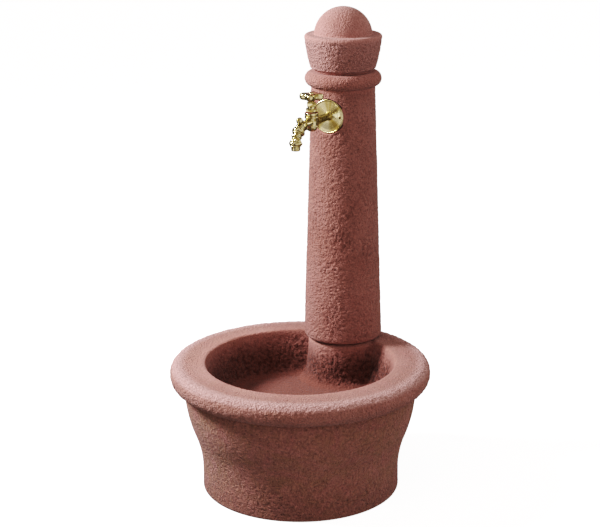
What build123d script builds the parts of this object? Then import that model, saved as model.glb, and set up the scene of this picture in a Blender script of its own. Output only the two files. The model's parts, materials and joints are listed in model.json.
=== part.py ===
from build123d import *
import os
from math import atan2, cos, radians, sin

# Garden fountain of cast stone: a round basin on a hollow foot, a tapered column with a loose
# domed cap at its back, and a brass tap with the plumbing behind it.
# Millimetres, +Z up. The origin is on the ground, under the middle of the basin.
# The column stands towards +Y and the tap looks towards -Y.

# Basin: outside
BASIN_HEIGHT = 252.0
RIM_RADIUS = 250.0
RIM_DEPTH = 46.0
RIM_TOP_ROUNDING = 19.0
RIM_UNDER_ROUNDING = 24.0
RIM_OVERHANG = 27.0
WAIST_INSET = 33.0
WAIST_HEIGHT = 36.0
OGEE_SPLIT = 0.46
FOOT_FLARE = 0.5
FOOT_ROUNDING = 4.0

# Basin: bowl and hollow foot
RIM_WIDTH = 68.0
BOWL_DEPTH = 86.0
BOWL_LEAN = 24.0
BOWL_ROUNDING = 26.0
MOUTH_ROUNDING = 5.0
FLOOR_THICKNESS = 34.0
PARTING_RISE = 4.0
FOOT_WALL = 22.5
CAVITY_DRAFT = 4.0
CAVITY_ROUNDING = 10.0

# Boss in the bowl that carries the column
BOSS_INSET = 8.0
BOSS_ROUNDING = 9.0
BOSS_DRAFT = 6.0
BOSS_FLARE = 22.0
BED_THICKNESS = 2.5
BED_INSET = 11.0

# Column, measured up from its own foot
COLUMN_INSET = 78.0
COLUMN_HEIGHT = 531.0
COLUMN_FOOT_RADIUS = 77.0
COLUMN_NECK_RADIUS = 62.0
COLUMN_ROUNDING = 9.0
COLUMN_BORE_FOOT = 51.0
COLUMN_BORE_TOP = 41.0
RING_RADIUS = 74.0
RING_HEIGHT = 28.0

# Cap
CAP_FOOT_RADIUS = 62.5
CAP_FOOT_ROUNDING = 4.0
CAP_RADIUS = 74.5
CAP_SWELL = 1.8
CAP_BAND = 65.0
CAP_ROUNDING = 6.0
DOME_RADIUS = 56.0
DOME_CENTRE = 67.0
SPIGOT_CLEARANCE = 2.5
SPIGOT_DEPTH = 14.0
SPIGOT_ROUNDING = 3.0

# Tap: places
TAP_DROP = 78.5
TAP_SEAT = 56.0
TAP_WALL = 12.0
VALVE_REACH = 123.0

# Tap: rosette
ROSETTE_RADIUS = 32.8
ROSETTE_THICKNESS = 3.0
ROSETTE_DISH = 2.5
ROSETTE_LIP = 1.6
ROSETTE_SEAT_RADIUS = 23.0
ROSETTE_FLAT_RADIUS = 12.5
RECESS_CLEARANCE = 1.2

# Tap: body, stem and spout
BODY_RADIUS = 11.5
BODY_DROP = 17.0
BODY_ROUND = 8.6
BODY_RISE = 19.0
BODY_BEAD = 1.8
BODY_BEAD_WIDTH = 4.0
UPPER_BEAD_DROP = 10.4
BODY_COLLAR = 1.4
STEM_ROOT_RADIUS = 10.35
STEM_WAIST_RADIUS = 7.0
STEM_FLANGE_RADIUS = 10.5
STEM_FLANGE = 3.0
TAIL_RADIUS = 8.33
TAIL_LENGTH = 9.0
SPOUT_RADIUS = 8.4
SPOUT_RUN = 27.0
BEND_RADIUS = 33.0
NOZZLE_LENGTH = 9.0
NOZZLE_LIP = 2.0
COLLAR_ANGLES = (43.0, 82.0)
COLLAR_RADIUS = 12.4
COLLAR_BEAD = 3.2
COLLAR_STEP = 1.2
SIDE_RING = 2.0
KNOB_ANGLE = 22.0
KNOB_RADIUS = 6.2
KNOB_NECK_RADIUS = 3.4
KNOB_STAND = 15.0
WATERWAY_RADIUS = 4.0
RAMP_RADIUS = 3.4
KNEE_RADIUS = 3.96

# Tap: valve
SEAT_RISE = 1.0
SEAT_BORE = 5.0
SEAT_LAND = 1.8
CHAMBER_RADIUS = 8.5
CHAMBER_LOW = 13.0
LOW_CHAMBER_RADIUS = 5.5
CHAMBER_ROOF = 6.0
DISC_RADIUS = 7.0
DISC_THICKNESS = 2.5
DISC_STEM_RADIUS = 2.4
DISC_STEM_LENGTH = 7.0
STUD_RADIUS = 1.6
WASHER_RADIUS = 6.8
WASHER_THICKNESS = 3.0
WASHER_NUT_RADIUS = 3.6
WASHER_NUT_HEIGHT = 2.0
THREAD_LEAD = 2.0
OPENING_TURNS = 2.5
LIFT_RESERVE = 1.0

# Tap: bonnet, gland and spindle
GASKET_THICKNESS = 1.0
BONNET_HEX = 21.0
BONNET_HEX_HEIGHT = 7.0
BONNET_NECK_RADIUS = 7.5
BONNET_NECK_HEIGHT = 8.0
BONNET_ROOF = 2.0
PACKING_RADIUS = 6.0
PACKING_PROUD = 0.8
GLAND_HEX = 17.0
GLAND_SKIRT = 4.5
GLAND_ROOF = 4.0
SCREW_RADIUS = 5.4
SPINDLE_RADIUS = 3.9
SPINDLE_SQUARE = 5.4
SQUARE_HEIGHT = 9.0
SPINDLE_GAP = 0.2
BORE_RESERVE = 0.5
TAP_CLEARANCE = 0.06

# Tap: handle
HANDLE_GAP = 1.5
HANDLE_SKIRT = 3.2
HANDLE_THICKNESS = 10.8
HANDLE_SPAN = 46.0
HANDLE_ANGLE = 18.0
LOBE_RADIUS = 7.4
LOBE_COUNT = 4
ARM_WIDTH = 11.0
HUB_RADIUS = 10.5
SKIRT_RADIUS = 7.6
SKIRT_WALL = 2.0
HANDLE_ROUNDING = 3.6
HANDLE_SCREW_RADIUS = 4.6
HANDLE_SCREW_HEAD = 2.2
HANDLE_SCREW_SHANK = 1.9
HANDLE_SCREW_LENGTH = 7.0

# Supply pipe and its fittings
PIPE_RADIUS = 7.5
PIPE_WALL = 1.0
PIPE_CLEARANCE = 0.06
RISER_OFFSET = 26.0
ELBOW_WALL = 3.6
ELBOW_SOCKET = 9.0
EXTENSION_RADIUS = 11.5
EXTENSION_CLEARANCE = 0.5
ELBOW_WASHER_THICKNESS = 2.0
ELBOW_WASHER_RADIUS = 13.0
FITTING_ARM = 25.0
PIPE_STOP = 11.0
OLIVE_HEIGHT = 3.0
OLIVE_RADIUS = 9.6
OLIVE_EDGE = 1.0
NUT_HEX = 24.0
NUT_GRIP = 9.0
NUT_ROOF = 3.5
INLET_HEIGHT = 40.0
INLET_THREAD_RADIUS = 10.4775
INLET_THREAD_LENGTH = 15.0
INLET_CHAMFER = 1.0
ADAPTER_HEX_HEIGHT = 8.0
PASSAGE_RADIUS = 12.0
GROMMET_CLEARANCE = 0.2
GROMMET_HEIGHT = 16.0
GROMMET_FLANGE = 3.0
GROMMET_FLANGE_HEIGHT = 3.0

# Drain
DRAIN_FORWARD = 25.0
DRAIN_THREAD_RADIUS = 20.955
DRAIN_BORE = 16.5
DRAIN_DROP = 86.0
DRAIN_SPIGOT_RADIUS = 20.0
DRAIN_SPIGOT_LENGTH = 36.0
DRAIN_HOLE_CLEARANCE = 2.0
FLANGE_RADIUS = 32.0
FLANGE_THICKNESS = 4.0
FLANGE_ROUNDING = 1.0
FLANGE_CLEARANCE = 1.5
DRAIN_GASKET_THICKNESS = 2.0
STRAINER_RADIUS = 25.0
STRAINER_THICKNESS = 2.0
STRAINER_CLEARANCE = 0.3
STRAINER_HOLE = 2.4
STRAINER_ROW_RADII = (8.5, 14.0)
STRAINER_ROW_COUNTS = (6, 10)
STRAINER_SCREW_RADIUS = 2.5
STRAINER_HEAD_RADIUS = 4.6
STRAINER_HEAD = 1.6
STRAINER_HEAD_GAP = 0.1
BRIDGE_WIDTH = 7.0
BRIDGE_DEPTH = 8.0
BRIDGE_BITE = 1.0
DRAIN_WASHER_RADIUS = 31.0
DRAIN_WASHER_THICKNESS = 3.0
BACKNUT_ACROSS = 60.0
BACKNUT_SIDES = 8
BACKNUT_HEIGHT = 10.0
DRAIN_CLEARANCE = 0.2

# Hexagon nuts and heads
HEX_SIDES = 6

# Lengths that a cutting tool runs past the surface it cuts
PAST = 12.0

# Sizes and places that follow from those above
NECK_RADIUS = RIM_RADIUS - RIM_OVERHANG
WAIST_RADIUS = NECK_RADIUS - WAIST_INSET
FOOT_RADIUS = WAIST_RADIUS + FOOT_FLARE
BOWL_RADIUS = RIM_RADIUS - RIM_WIDTH
COLUMN_SETBACK = RIM_RADIUS - COLUMN_INSET
TAP_RISE = COLUMN_HEIGHT - TAP_DROP
FLOOR = BASIN_HEIGHT - BOWL_DEPTH
CEILING = FLOOR - FLOOR_THICKNESS
PARTING = Plane.XY.offset(FLOOR + PARTING_RISE)
COLUMN_BASE = BASIN_HEIGHT + BED_THICKNESS
COLUMN_TOP = COLUMN_BASE + COLUMN_HEIGHT
COLUMN = Pos(0, COLUMN_SETBACK, COLUMN_BASE)
TAP = COLUMN * Pos(0, 0, TAP_RISE)
VALVE = TAP * Pos(0, -VALVE_REACH, 0)
RISER = TAP * Pos(0, -RISER_OFFSET, 0)
RISER_FOOT = Pos(0, COLUMN_SETBACK - RISER_OFFSET, 0)
DRAIN = Pos(0, -DRAIN_FORWARD, FLOOR)
STEM_REACH = VALVE_REACH - TAP_SEAT - ROSETTE_THICKNESS
LIFT = THREAD_LEAD * OPENING_TURNS
WASHER_TOP = SEAT_RISE + WASHER_THICKNESS
DISC_TOP = WASHER_TOP + DISC_THICKNESS
BONNET_LOW = DISC_TOP + LIFT + LIFT_RESERVE
BONNET_SEAT = BODY_RISE + GASKET_THICKNESS
NECK_LOW = BONNET_SEAT + BONNET_HEX_HEIGHT
NECK_TOP = NECK_LOW + BONNET_NECK_HEIGHT
PACKING_TOP = NECK_TOP + PACKING_PROUD
PACKING_LOW = NECK_TOP - BONNET_NECK_HEIGHT / 2
GLAND_TOP = PACKING_TOP + GLAND_ROOF
HANDLE_LOW = GLAND_TOP + HANDLE_GAP
HANDLE_DISC = HANDLE_LOW + HANDLE_SKIRT
HANDLE_TOP = HANDLE_DISC + HANDLE_THICKNESS
ADAPTER_HEX_LOW = INLET_HEIGHT + INLET_THREAD_LENGTH
ADAPTER_ARM_LOW = ADAPTER_HEX_LOW + ADAPTER_HEX_HEIGHT
ELBOW_HEIGHT = COLUMN_BASE + TAP_RISE
EXTENSION_MALE = TAP_SEAT - TAP_WALL
ELBOW_FACE = EXTENSION_MALE - ELBOW_WASHER_THICKNESS

# Directions of the pieces that lie along the tap's own axis
FORWARD = Plane((0, 0, 0), x_dir=(1, 0, 0), z_dir=(0, -1, 0))
BACKWARD = Plane((0, 0, 0), x_dir=(1, 0, 0), z_dir=(0, 1, 0))


def lathe(*edges):
    """A body turned about Z from a closed outline of radius and height."""
    return revolve(Plane.XZ * make_face(edges), Axis.Z)


def drum(radius, low, high):
    """A round bar about Z between two heights."""
    return Pos(0, 0, low) * Cylinder(radius, high - low, align=(Align.CENTER, Align.CENTER, Align.MIN))


def ring(inner, outer, low, high):
    """A round sleeve about Z between two heights."""
    return drum(outer, low, high) - drum(inner, low, high)


def cone(low_radius, high_radius, low, high):
    """A tapered round bar about Z between two heights."""
    taper = Cone(low_radius, high_radius, high - low, align=(Align.CENTER, Align.CENTER, Align.MIN))
    return Pos(0, 0, low) * taper


def prism(across, sides, low, high):
    """A bar with flat sides, given across its flats, with its ends rounded off as on a turned nut."""
    bar = extrude(RegularPolygon(across / 2, sides, major_radius=False), high - low)
    corner = across / 2 / cos(radians(180 / sides))
    bevel = corner - across / 2
    trim = lathe(Polyline((0, 0), (across / 2, 0), (corner, bevel), (corner, high - low - bevel),
                          (across / 2, high - low), (0, high - low), (0, 0)))
    return Pos(0, 0, low) * (bar & trim)


def basin_outside():
    """The basin as a filled body: foot, waist, ogee wall and the deep rounded rim."""
    under = BASIN_HEIGHT - RIM_DEPTH
    sole = (FOOT_RADIUS - FOOT_ROUNDING, 0)
    foot = (FOOT_RADIUS, FOOT_ROUNDING)
    waist = (WAIST_RADIUS, WAIST_HEIGHT)
    neck = (NECK_RADIUS, under)
    turn = (WAIST_RADIUS + OGEE_SPLIT * (NECK_RADIUS - WAIST_RADIUS),
            WAIST_HEIGHT + OGEE_SPLIT * (under - WAIST_HEIGHT))
    lip = (RIM_RADIUS - RIM_UNDER_ROUNDING, under)
    face_low = (RIM_RADIUS, under + RIM_UNDER_ROUNDING)
    face_high = (RIM_RADIUS, BASIN_HEIGHT - RIM_TOP_ROUNDING)
    crest = (RIM_RADIUS - RIM_TOP_ROUNDING, BASIN_HEIGHT)
    return lathe(
        TangentArc(sole, foot, tangent=(1, 0)),
        TangentArc(waist, foot, tangent=(0, -1)),
        TangentArc(waist, turn, tangent=(0, 1)),
        TangentArc(neck, turn, tangent=(0, -1)),
        Line(neck, lip),
        TangentArc(lip, face_low, tangent=(1, 0)),
        Line(face_low, face_high),
        TangentArc(face_high, crest, tangent=(0, 1)),
        Polyline(crest, (0, BASIN_HEIGHT), (0, 0), sole),
    )


def bowl_hollow():
    """The space inside the bowl, with its round floor corner and the rounded mouth."""
    lean = atan2(BOWL_LEAN, BOWL_DEPTH)
    crest = BOWL_RADIUS + MOUTH_ROUNDING * (1 - sin(lean)) / cos(lean)
    start = (crest - MOUTH_ROUNDING * cos(lean), BASIN_HEIGHT - MOUTH_ROUNDING * (1 - sin(lean)))
    above = BASIN_HEIGHT + PAST
    return lathe(
        FilletPolyline((0, FLOOR), (BOWL_RADIUS - BOWL_LEAN, FLOOR), start, radius=BOWL_ROUNDING),
        TangentArc(start, (crest, BASIN_HEIGHT), tangent=(sin(lean), cos(lean))),
        Polyline((crest, BASIN_HEIGHT), (crest, above), (0, above), (0, FLOOR)),
    )


def boss():
    """The round boss under the column, flared into the bowl floor, running past its own top."""
    radius = COLUMN_FOOT_RADIUS - BOSS_INSET
    shoulder = BASIN_HEIGHT - BOSS_ROUNDING
    foot = radius + BOSS_DRAFT
    skirt = foot + 2 * BOSS_FLARE
    above = BASIN_HEIGHT + PAST
    below = FLOOR - PAST
    flare = FilletPolyline((radius, shoulder), (foot, FLOOR), (skirt, FLOOR), radius=BOSS_FLARE)
    crown = TangentArc((radius - BOSS_ROUNDING, BASIN_HEIGHT), (radius, shoulder), tangent=(1, 0))
    rest = Polyline((skirt, FLOOR), (skirt, below), (0, below), (0, above),
                    (radius - BOSS_ROUNDING, above), (radius - BOSS_ROUNDING, BASIN_HEIGHT))
    return Pos(0, COLUMN_SETBACK, 0) * lathe(crown, flare, rest)


def foot_hollow():
    """The open space under the bowl where the supply and the waste pipe run."""
    wide = WAIST_RADIUS - FOOT_WALL
    return lathe(
        FilletPolyline((0, CEILING), (wide - CAVITY_DRAFT, CEILING), (wide, 0),
                       radius=CAVITY_ROUNDING),
        Polyline((wide, 0), (wide, -PAST), (0, -PAST), (0, CEILING)),
    )


def casting():
    """The whole basin: bowl, boss, hollow foot, pipe passage and drain hole."""
    passage = RISER_FOOT * drum(PASSAGE_RADIUS, CEILING - PAST, BASIN_HEIGHT + PAST)
    seat_depth = FLANGE_THICKNESS + DRAIN_GASKET_THICKNESS
    seat = DRAIN * drum(FLANGE_RADIUS + FLANGE_CLEARANCE, -seat_depth, PAST)
    hole = DRAIN * drum(DRAIN_THREAD_RADIUS + DRAIN_HOLE_CLEARANCE, -FLOOR_THICKNESS - PAST, PAST)
    return basin_outside() - (bowl_hollow() - boss()) - foot_hollow() - passage - seat - hole


def make_basin():
    """Upper part of the casting: bowl wall, rim and boss, down to the parting just above the floor."""
    return split(casting(), bisect_by=PARTING, keep=Keep.TOP)


def make_basin_foot():
    """Lower part of the casting: the bowl's floor on the hollow foot."""
    return split(casting(), bisect_by=PARTING, keep=Keep.BOTTOM)


def make_column_bed():
    """Mortar bed between the boss and the foot of the column, set back as a shadow joint."""
    outer = COLUMN_FOOT_RADIUS - BED_INSET
    return Pos(0, COLUMN_SETBACK, 0) * ring(COLUMN_BORE_FOOT, outer, BASIN_HEIGHT, COLUMN_BASE)


def make_column():
    """Hollow tapered shaft with its ring, the flat seat for the rosette and the tap's hole."""
    ring_low = COLUMN_HEIGHT - RING_HEIGHT
    shaft = lathe(
        FilletPolyline((COLUMN_BORE_FOOT, 0), (COLUMN_FOOT_RADIUS, 0), (COLUMN_NECK_RADIUS, ring_low),
                       radius=COLUMN_ROUNDING),
        ThreePointArc((COLUMN_NECK_RADIUS, ring_low), (RING_RADIUS, COLUMN_HEIGHT - RING_HEIGHT / 2),
                      (COLUMN_NECK_RADIUS, COLUMN_HEIGHT)),
        Polyline((COLUMN_NECK_RADIUS, COLUMN_HEIGHT), (COLUMN_BORE_TOP, COLUMN_HEIGHT),
                 (COLUMN_BORE_FOOT, 0)),
    )
    recess = drum(ROSETTE_RADIUS + RECESS_CLEARANCE, TAP_SEAT, COLUMN_FOOT_RADIUS + PAST)
    hole = drum(EXTENSION_RADIUS + EXTENSION_CLEARANCE, RISER_OFFSET, COLUMN_FOOT_RADIUS)
    spot = drum(ELBOW_WASHER_RADIUS + EXTENSION_CLEARANCE, 0, EXTENSION_MALE)
    cuts = Pos(0, 0, TAP_RISE) * FORWARD.location * (recess + hole + spot)
    return COLUMN * (shaft - cuts)


def make_cap():
    """Flared collar with the dome in one casting, and the spigot that centres it in the column."""
    spigot = COLUMN_BORE_TOP - SPIGOT_CLEARANCE
    ledge = CAP_BAND + CAP_ROUNDING
    sole = (CAP_FOOT_RADIUS - CAP_FOOT_ROUNDING, 0)
    foot = (CAP_FOOT_RADIUS, CAP_FOOT_ROUNDING)
    middle = ((CAP_FOOT_RADIUS + CAP_RADIUS) / 2 + CAP_SWELL, (CAP_FOOT_ROUNDING + CAP_BAND) / 2)
    band = (CAP_RADIUS, CAP_BAND)
    crest = (CAP_RADIUS - CAP_ROUNDING, ledge)
    collar = lathe(
        TangentArc(sole, foot, tangent=(1, 0)),
        ThreePointArc(foot, middle, band),
        TangentArc(band, crest, tangent=(0, 1)),
        Polyline(crest, (0, ledge), (0, 0), sole),
    )
    dome = Pos(0, 0, DOME_CENTRE) * Sphere(DOME_RADIUS)
    pin = lathe(
        FilletPolyline((0, -SPIGOT_DEPTH), (spigot, -SPIGOT_DEPTH), (spigot, 0), radius=SPIGOT_ROUNDING),
        Polyline((spigot, 0), (spigot, PAST), (0, PAST), (0, -SPIGOT_DEPTH)),
    )
    return Pos(0, COLUMN_SETBACK, COLUMN_TOP) * (collar + dome + pin)


def make_rosette():
    """Dished round rosette with a rolled lip, flat where the tap's flange bears on it."""
    bore = TAIL_RADIUS + TAP_CLEARANCE
    rim = ROSETTE_THICKNESS + ROSETTE_DISH
    dish = lathe(
        Polyline((bore, 0), (ROSETTE_SEAT_RADIUS, 0), (ROSETTE_RADIUS, ROSETTE_DISH)),
        TangentArc((ROSETTE_RADIUS, ROSETTE_DISH), (ROSETTE_RADIUS - ROSETTE_LIP, rim), tangent=(0, 1)),
        Polyline((ROSETTE_RADIUS - ROSETTE_LIP, rim), (ROSETTE_FLAT_RADIUS, ROSETTE_THICKNESS),
                 (bore, ROSETTE_THICKNESS), (bore, 0)),
    )
    return TAP * FORWARD.location * Pos(0, 0, TAP_SEAT) * dish


def spout_place(angle, stand=0.0):
    """A place on the spout's bend, by the angle turned from level, with Z along the tube."""
    swing = radians(angle)
    reach = BEND_RADIUS + stand
    origin = (0, -SPOUT_RUN - reach * sin(swing), reach * cos(swing) - BEND_RADIUS)
    return Plane(origin, x_dir=(1, 0, 0), z_dir=(0, -cos(swing), -sin(swing))).location


def spout_tube(radius, start, drop):
    """A round bar along the spout: level, round the bend and straight down."""
    disc = Plane((0, -SPOUT_RUN, 0), x_dir=(1, 0, 0), z_dir=(0, -1, 0)) * Circle(radius)
    bend = revolve(disc, Axis((0, -SPOUT_RUN, -BEND_RADIUS), (1, 0, 0)), 90)
    level = FORWARD.location * drum(radius, start, SPOUT_RUN)
    down = Pos(0, -SPOUT_RUN - BEND_RADIUS, 0) * drum(radius, -BEND_RADIUS - drop, -BEND_RADIUS)
    return level + bend + down


def body_casting():
    """Outside of the tap: ringed barrel, waisted stem with its flange and threaded tail."""
    barrel_low = BODY_ROUND - BODY_DROP
    beads = (barrel_low, BODY_RISE - UPPER_BEAD_DROP)
    edges = [TangentArc((0, -BODY_DROP), (BODY_RADIUS, barrel_low), tangent=(1, 0))]
    reached = barrel_low
    for low in beads:
        if low > reached:
            edges.append(Line((BODY_RADIUS, reached), (BODY_RADIUS, low)))
        reached = low + BODY_BEAD_WIDTH
        crown = (BODY_RADIUS + BODY_BEAD, low + BODY_BEAD_WIDTH / 2)
        edges.append(ThreePointArc((BODY_RADIUS, low), crown, (BODY_RADIUS, reached)))
    collar = BODY_RADIUS + BODY_COLLAR
    edges.append(Polyline((BODY_RADIUS, reached), (collar, reached + BODY_COLLAR), (collar, BODY_RISE),
                          (0, BODY_RISE), (0, -BODY_DROP)))
    flange_low = STEM_REACH - STEM_FLANGE
    stem = lathe(
        Polyline((0, 0), (STEM_ROOT_RADIUS, 0), (STEM_WAIST_RADIUS, flange_low - STEM_FLANGE),
                 (STEM_FLANGE_RADIUS, flange_low), (STEM_FLANGE_RADIUS, STEM_REACH), (0, STEM_REACH),
                 (0, 0)))
    tail = drum(TAIL_RADIUS, STEM_REACH, STEM_REACH + ROSETTE_THICKNESS + TAIL_LENGTH)
    return lathe(*edges) + BACKWARD.location * (stem + tail)


def collar_disc():
    """One collar of the spout: a bold bead between two small rings, turned in one with its disc."""
    foot = SPOUT_RADIUS + COLLAR_STEP
    edge = COLLAR_BEAD + SIDE_RING
    bead = ThreePointArc((foot, -COLLAR_BEAD), (COLLAR_RADIUS, 0), (foot, COLLAR_BEAD))
    outlines = [bead]
    for side in (-1, 1):
        crown = (foot + SIDE_RING / 2, side * (edge - SIDE_RING / 2))
        outlines.append(ThreePointArc((foot, side * COLLAR_BEAD), crown, (foot, side * edge)))
    return lathe(*outlines, Polyline((foot, edge), (0, edge), (0, -edge), (foot, -edge)))


def spout_casting():
    """Outside of the spout: round bend with two ringed collars, a knob on top and a rounded outlet."""
    tube = spout_tube(SPOUT_RADIUS, 0, NOZZLE_LENGTH - NOZZLE_LIP)
    end = -BEND_RADIUS - NOZZLE_LENGTH
    high = end + 2 * NOZZLE_LIP
    mouth = Pos(0, -SPOUT_RUN - BEND_RADIUS, 0) * lathe(
        FilletPolyline((0, high), (SPOUT_RADIUS, high), (SPOUT_RADIUS, end), (0, end),
                       radius=(0, NOZZLE_LIP)),
        Line((0, end), (0, high)),
    )
    solid = tube + mouth
    for angle in COLLAR_ANGLES:
        solid += spout_place(angle) * collar_disc()
    knob = spout_place(KNOB_ANGLE, KNOB_STAND)
    neck = knob * Rot(X=90) * drum(KNOB_NECK_RADIUS, -KNOB_RADIUS / 2, KNOB_STAND - SPOUT_RADIUS / 2)
    return solid + neck + knob * Sphere(KNOB_RADIUS)


def waterways():
    """Inside of the tap: inlet bore, way down to the seat, chambers and the way out of the spout."""
    tail_end = STEM_REACH + ROSETTE_THICKNESS + TAIL_LENGTH
    turn = BODY_RADIUS + WATERWAY_RADIUS
    under_seat = -CHAMBER_LOW + WATERWAY_RADIUS
    inlet = BACKWARD.location * drum(WATERWAY_RADIUS, turn, tail_end + PAST)
    ramp_run = (turn ** 2 + under_seat ** 2) ** 0.5
    ramp_turn = atan2(-under_seat, turn)
    ramp = Plane((0, turn, 0), x_dir=(1, 0, 0), z_dir=(0, -cos(ramp_turn), -sin(ramp_turn))).location
    descent = ramp * (drum(RAMP_RADIUS, 0, ramp_run) + Sphere(KNEE_RADIUS))
    low_chamber = drum(LOW_CHAMBER_RADIUS, -CHAMBER_LOW, -CHAMBER_ROOF)
    seat_hole = drum(SEAT_BORE, -CHAMBER_LOW, SEAT_RISE + PAST)
    high_chamber = drum(CHAMBER_RADIUS, SEAT_RISE, BODY_RISE + PAST)
    moat = ring(SEAT_BORE + SEAT_LAND, CHAMBER_RADIUS, 0, SEAT_RISE)
    outlet = spout_tube(WATERWAY_RADIUS, SEAT_BORE + SEAT_LAND, NOZZLE_LENGTH + PAST)
    return inlet + descent + low_chamber + seat_hole + high_chamber + moat + outlet


def make_tap_body():
    """Tap body with stem, spout, seat and waterways, one casting."""
    return VALVE * (body_casting() + spout_casting() - waterways())


def make_valve_disc():
    """Disc with the stem that rides in the spindle and the stud that carries the washer."""
    stud_low = SEAT_RISE - WASHER_NUT_HEIGHT
    stem = drum(DISC_STEM_RADIUS, DISC_TOP, DISC_TOP + DISC_STEM_LENGTH)
    stud = drum(STUD_RADIUS, stud_low, WASHER_TOP)
    return VALVE * (drum(DISC_RADIUS, WASHER_TOP, DISC_TOP) + stem + stud)


def make_valve_washer():
    """Soft washer that closes on the seat."""
    return VALVE * ring(STUD_RADIUS + TAP_CLEARANCE, WASHER_RADIUS, SEAT_RISE, WASHER_TOP)


def make_washer_nut():
    """Small nut that holds the washer on its stud."""
    nut = prism(2 * WASHER_NUT_RADIUS, HEX_SIDES, SEAT_RISE - WASHER_NUT_HEIGHT, SEAT_RISE)
    return VALVE * (nut - drum(STUD_RADIUS + TAP_CLEARANCE, -PAST, PAST))


def make_bonnet_gasket():
    """Fibre ring between the bonnet and the top of the body."""
    return VALVE * ring(CHAMBER_RADIUS + TAP_CLEARANCE, BODY_RADIUS, BODY_RISE, BONNET_SEAT)


def make_bonnet():
    """Head part: thread into the body, hexagon, neck with the packing box and the spindle's thread."""
    thread = drum(CHAMBER_RADIUS - TAP_CLEARANCE, BONNET_LOW, BONNET_SEAT)
    neck = drum(BONNET_NECK_RADIUS, NECK_LOW, NECK_TOP)
    bore = drum(SCREW_RADIUS + TAP_CLEARANCE, BONNET_LOW - PAST, PACKING_LOW - BONNET_ROOF)
    guide = drum(SPINDLE_RADIUS + TAP_CLEARANCE, BONNET_LOW, NECK_TOP + PAST)
    box = drum(PACKING_RADIUS, PACKING_LOW, NECK_TOP + PAST)
    return VALVE * (thread + prism(BONNET_HEX, HEX_SIDES, BONNET_SEAT, NECK_LOW) + neck - bore - guide - box)


def make_gland_packing():
    """Packing ring round the spindle, standing a little proud of its box."""
    inner = SPINDLE_RADIUS + TAP_CLEARANCE
    return VALVE * ring(inner, PACKING_RADIUS - TAP_CLEARANCE, PACKING_LOW, PACKING_TOP)


def make_gland_nut():
    """Nut over the bonnet's neck that presses the packing."""
    nut = prism(GLAND_HEX, HEX_SIDES, NECK_TOP - GLAND_SKIRT, GLAND_TOP)
    sleeve = drum(BONNET_NECK_RADIUS + TAP_CLEARANCE, NECK_TOP - GLAND_SKIRT - PAST, PACKING_TOP)
    return VALVE * (nut - sleeve - drum(SPINDLE_RADIUS + TAP_CLEARANCE, 0, GLAND_TOP + PAST))


def make_spindle():
    """Rising spindle: screw, plain shaft, square for the handle and the bore for the disc's stem."""
    screw_top = PACKING_LOW - BONNET_ROOF - LIFT - BORE_RESERVE
    low = DISC_TOP + SPINDLE_GAP
    square_low = HANDLE_TOP - SQUARE_HEIGHT
    screw = drum(SCREW_RADIUS, low, screw_top)
    shaft = drum(SPINDLE_RADIUS, screw_top, square_low)
    section = Rot(Z=HANDLE_ANGLE) * Rectangle(SPINDLE_SQUARE, SPINDLE_SQUARE)
    square = Pos(0, 0, square_low) * extrude(section, SQUARE_HEIGHT)
    stem_end = DISC_TOP + DISC_STEM_LENGTH + BORE_RESERVE
    stem_bore = drum(DISC_STEM_RADIUS + TAP_CLEARANCE, low - PAST, stem_end)
    tapped_end = HANDLE_TOP - HANDLE_SCREW_LENGTH - BORE_RESERVE
    tapped = drum(HANDLE_SCREW_SHANK + TAP_CLEARANCE, tapped_end, HANDLE_TOP + PAST)
    return VALVE * (screw + shaft + square - stem_bore - tapped)


def make_handle():
    """Four-lobed handle with rounded edges, a conical skirt and the spindle's square hole."""
    lobe_reach = HANDLE_SPAN / 2 - LOBE_RADIUS
    outline = Circle(HUB_RADIUS)
    for turn in range(LOBE_COUNT):
        arm = Rot(Z=turn * 360 / LOBE_COUNT + HANDLE_ANGLE)
        outline += arm * Pos(lobe_reach / 2, 0) * Rectangle(lobe_reach, ARM_WIDTH)
        outline += arm * Pos(lobe_reach, 0) * Circle(LOBE_RADIUS)
    disc = Pos(0, 0, HANDLE_DISC) * extrude(outline, HANDLE_THICKNESS)
    rims = disc.edges().filter_by_position(Axis.Z, HANDLE_TOP, HANDLE_TOP)
    rims += disc.edges().filter_by_position(Axis.Z, HANDLE_DISC, HANDLE_DISC)
    disc = fillet(rims, HANDLE_ROUNDING)
    skirt = cone(SPINDLE_RADIUS + SKIRT_WALL, SKIRT_RADIUS, HANDLE_LOW, HANDLE_DISC + HANDLE_ROUNDING)
    slack = SPINDLE_SQUARE + 2 * TAP_CLEARANCE
    square_low = HANDLE_TOP - SQUARE_HEIGHT
    section = Rot(Z=HANDLE_ANGLE) * Rectangle(slack, slack)
    square = Pos(0, 0, square_low) * extrude(section, SQUARE_HEIGHT + PAST)
    shaft = drum(SPINDLE_RADIUS + TAP_CLEARANCE, HANDLE_LOW - PAST, square_low)
    return VALVE * (disc + skirt - square - shaft)


def make_handle_screw():
    """Round-headed screw that holds the handle on its square."""
    crown = (0, HANDLE_TOP + HANDLE_SCREW_HEAD)
    edge = (HANDLE_SCREW_RADIUS, HANDLE_TOP)
    head = lathe(TangentArc(crown, edge, tangent=(1, 0)), Polyline(crown, (0, HANDLE_TOP), edge))
    return VALVE * (head + drum(HANDLE_SCREW_SHANK, HANDLE_TOP - HANDLE_SCREW_LENGTH, HANDLE_TOP))


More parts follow.
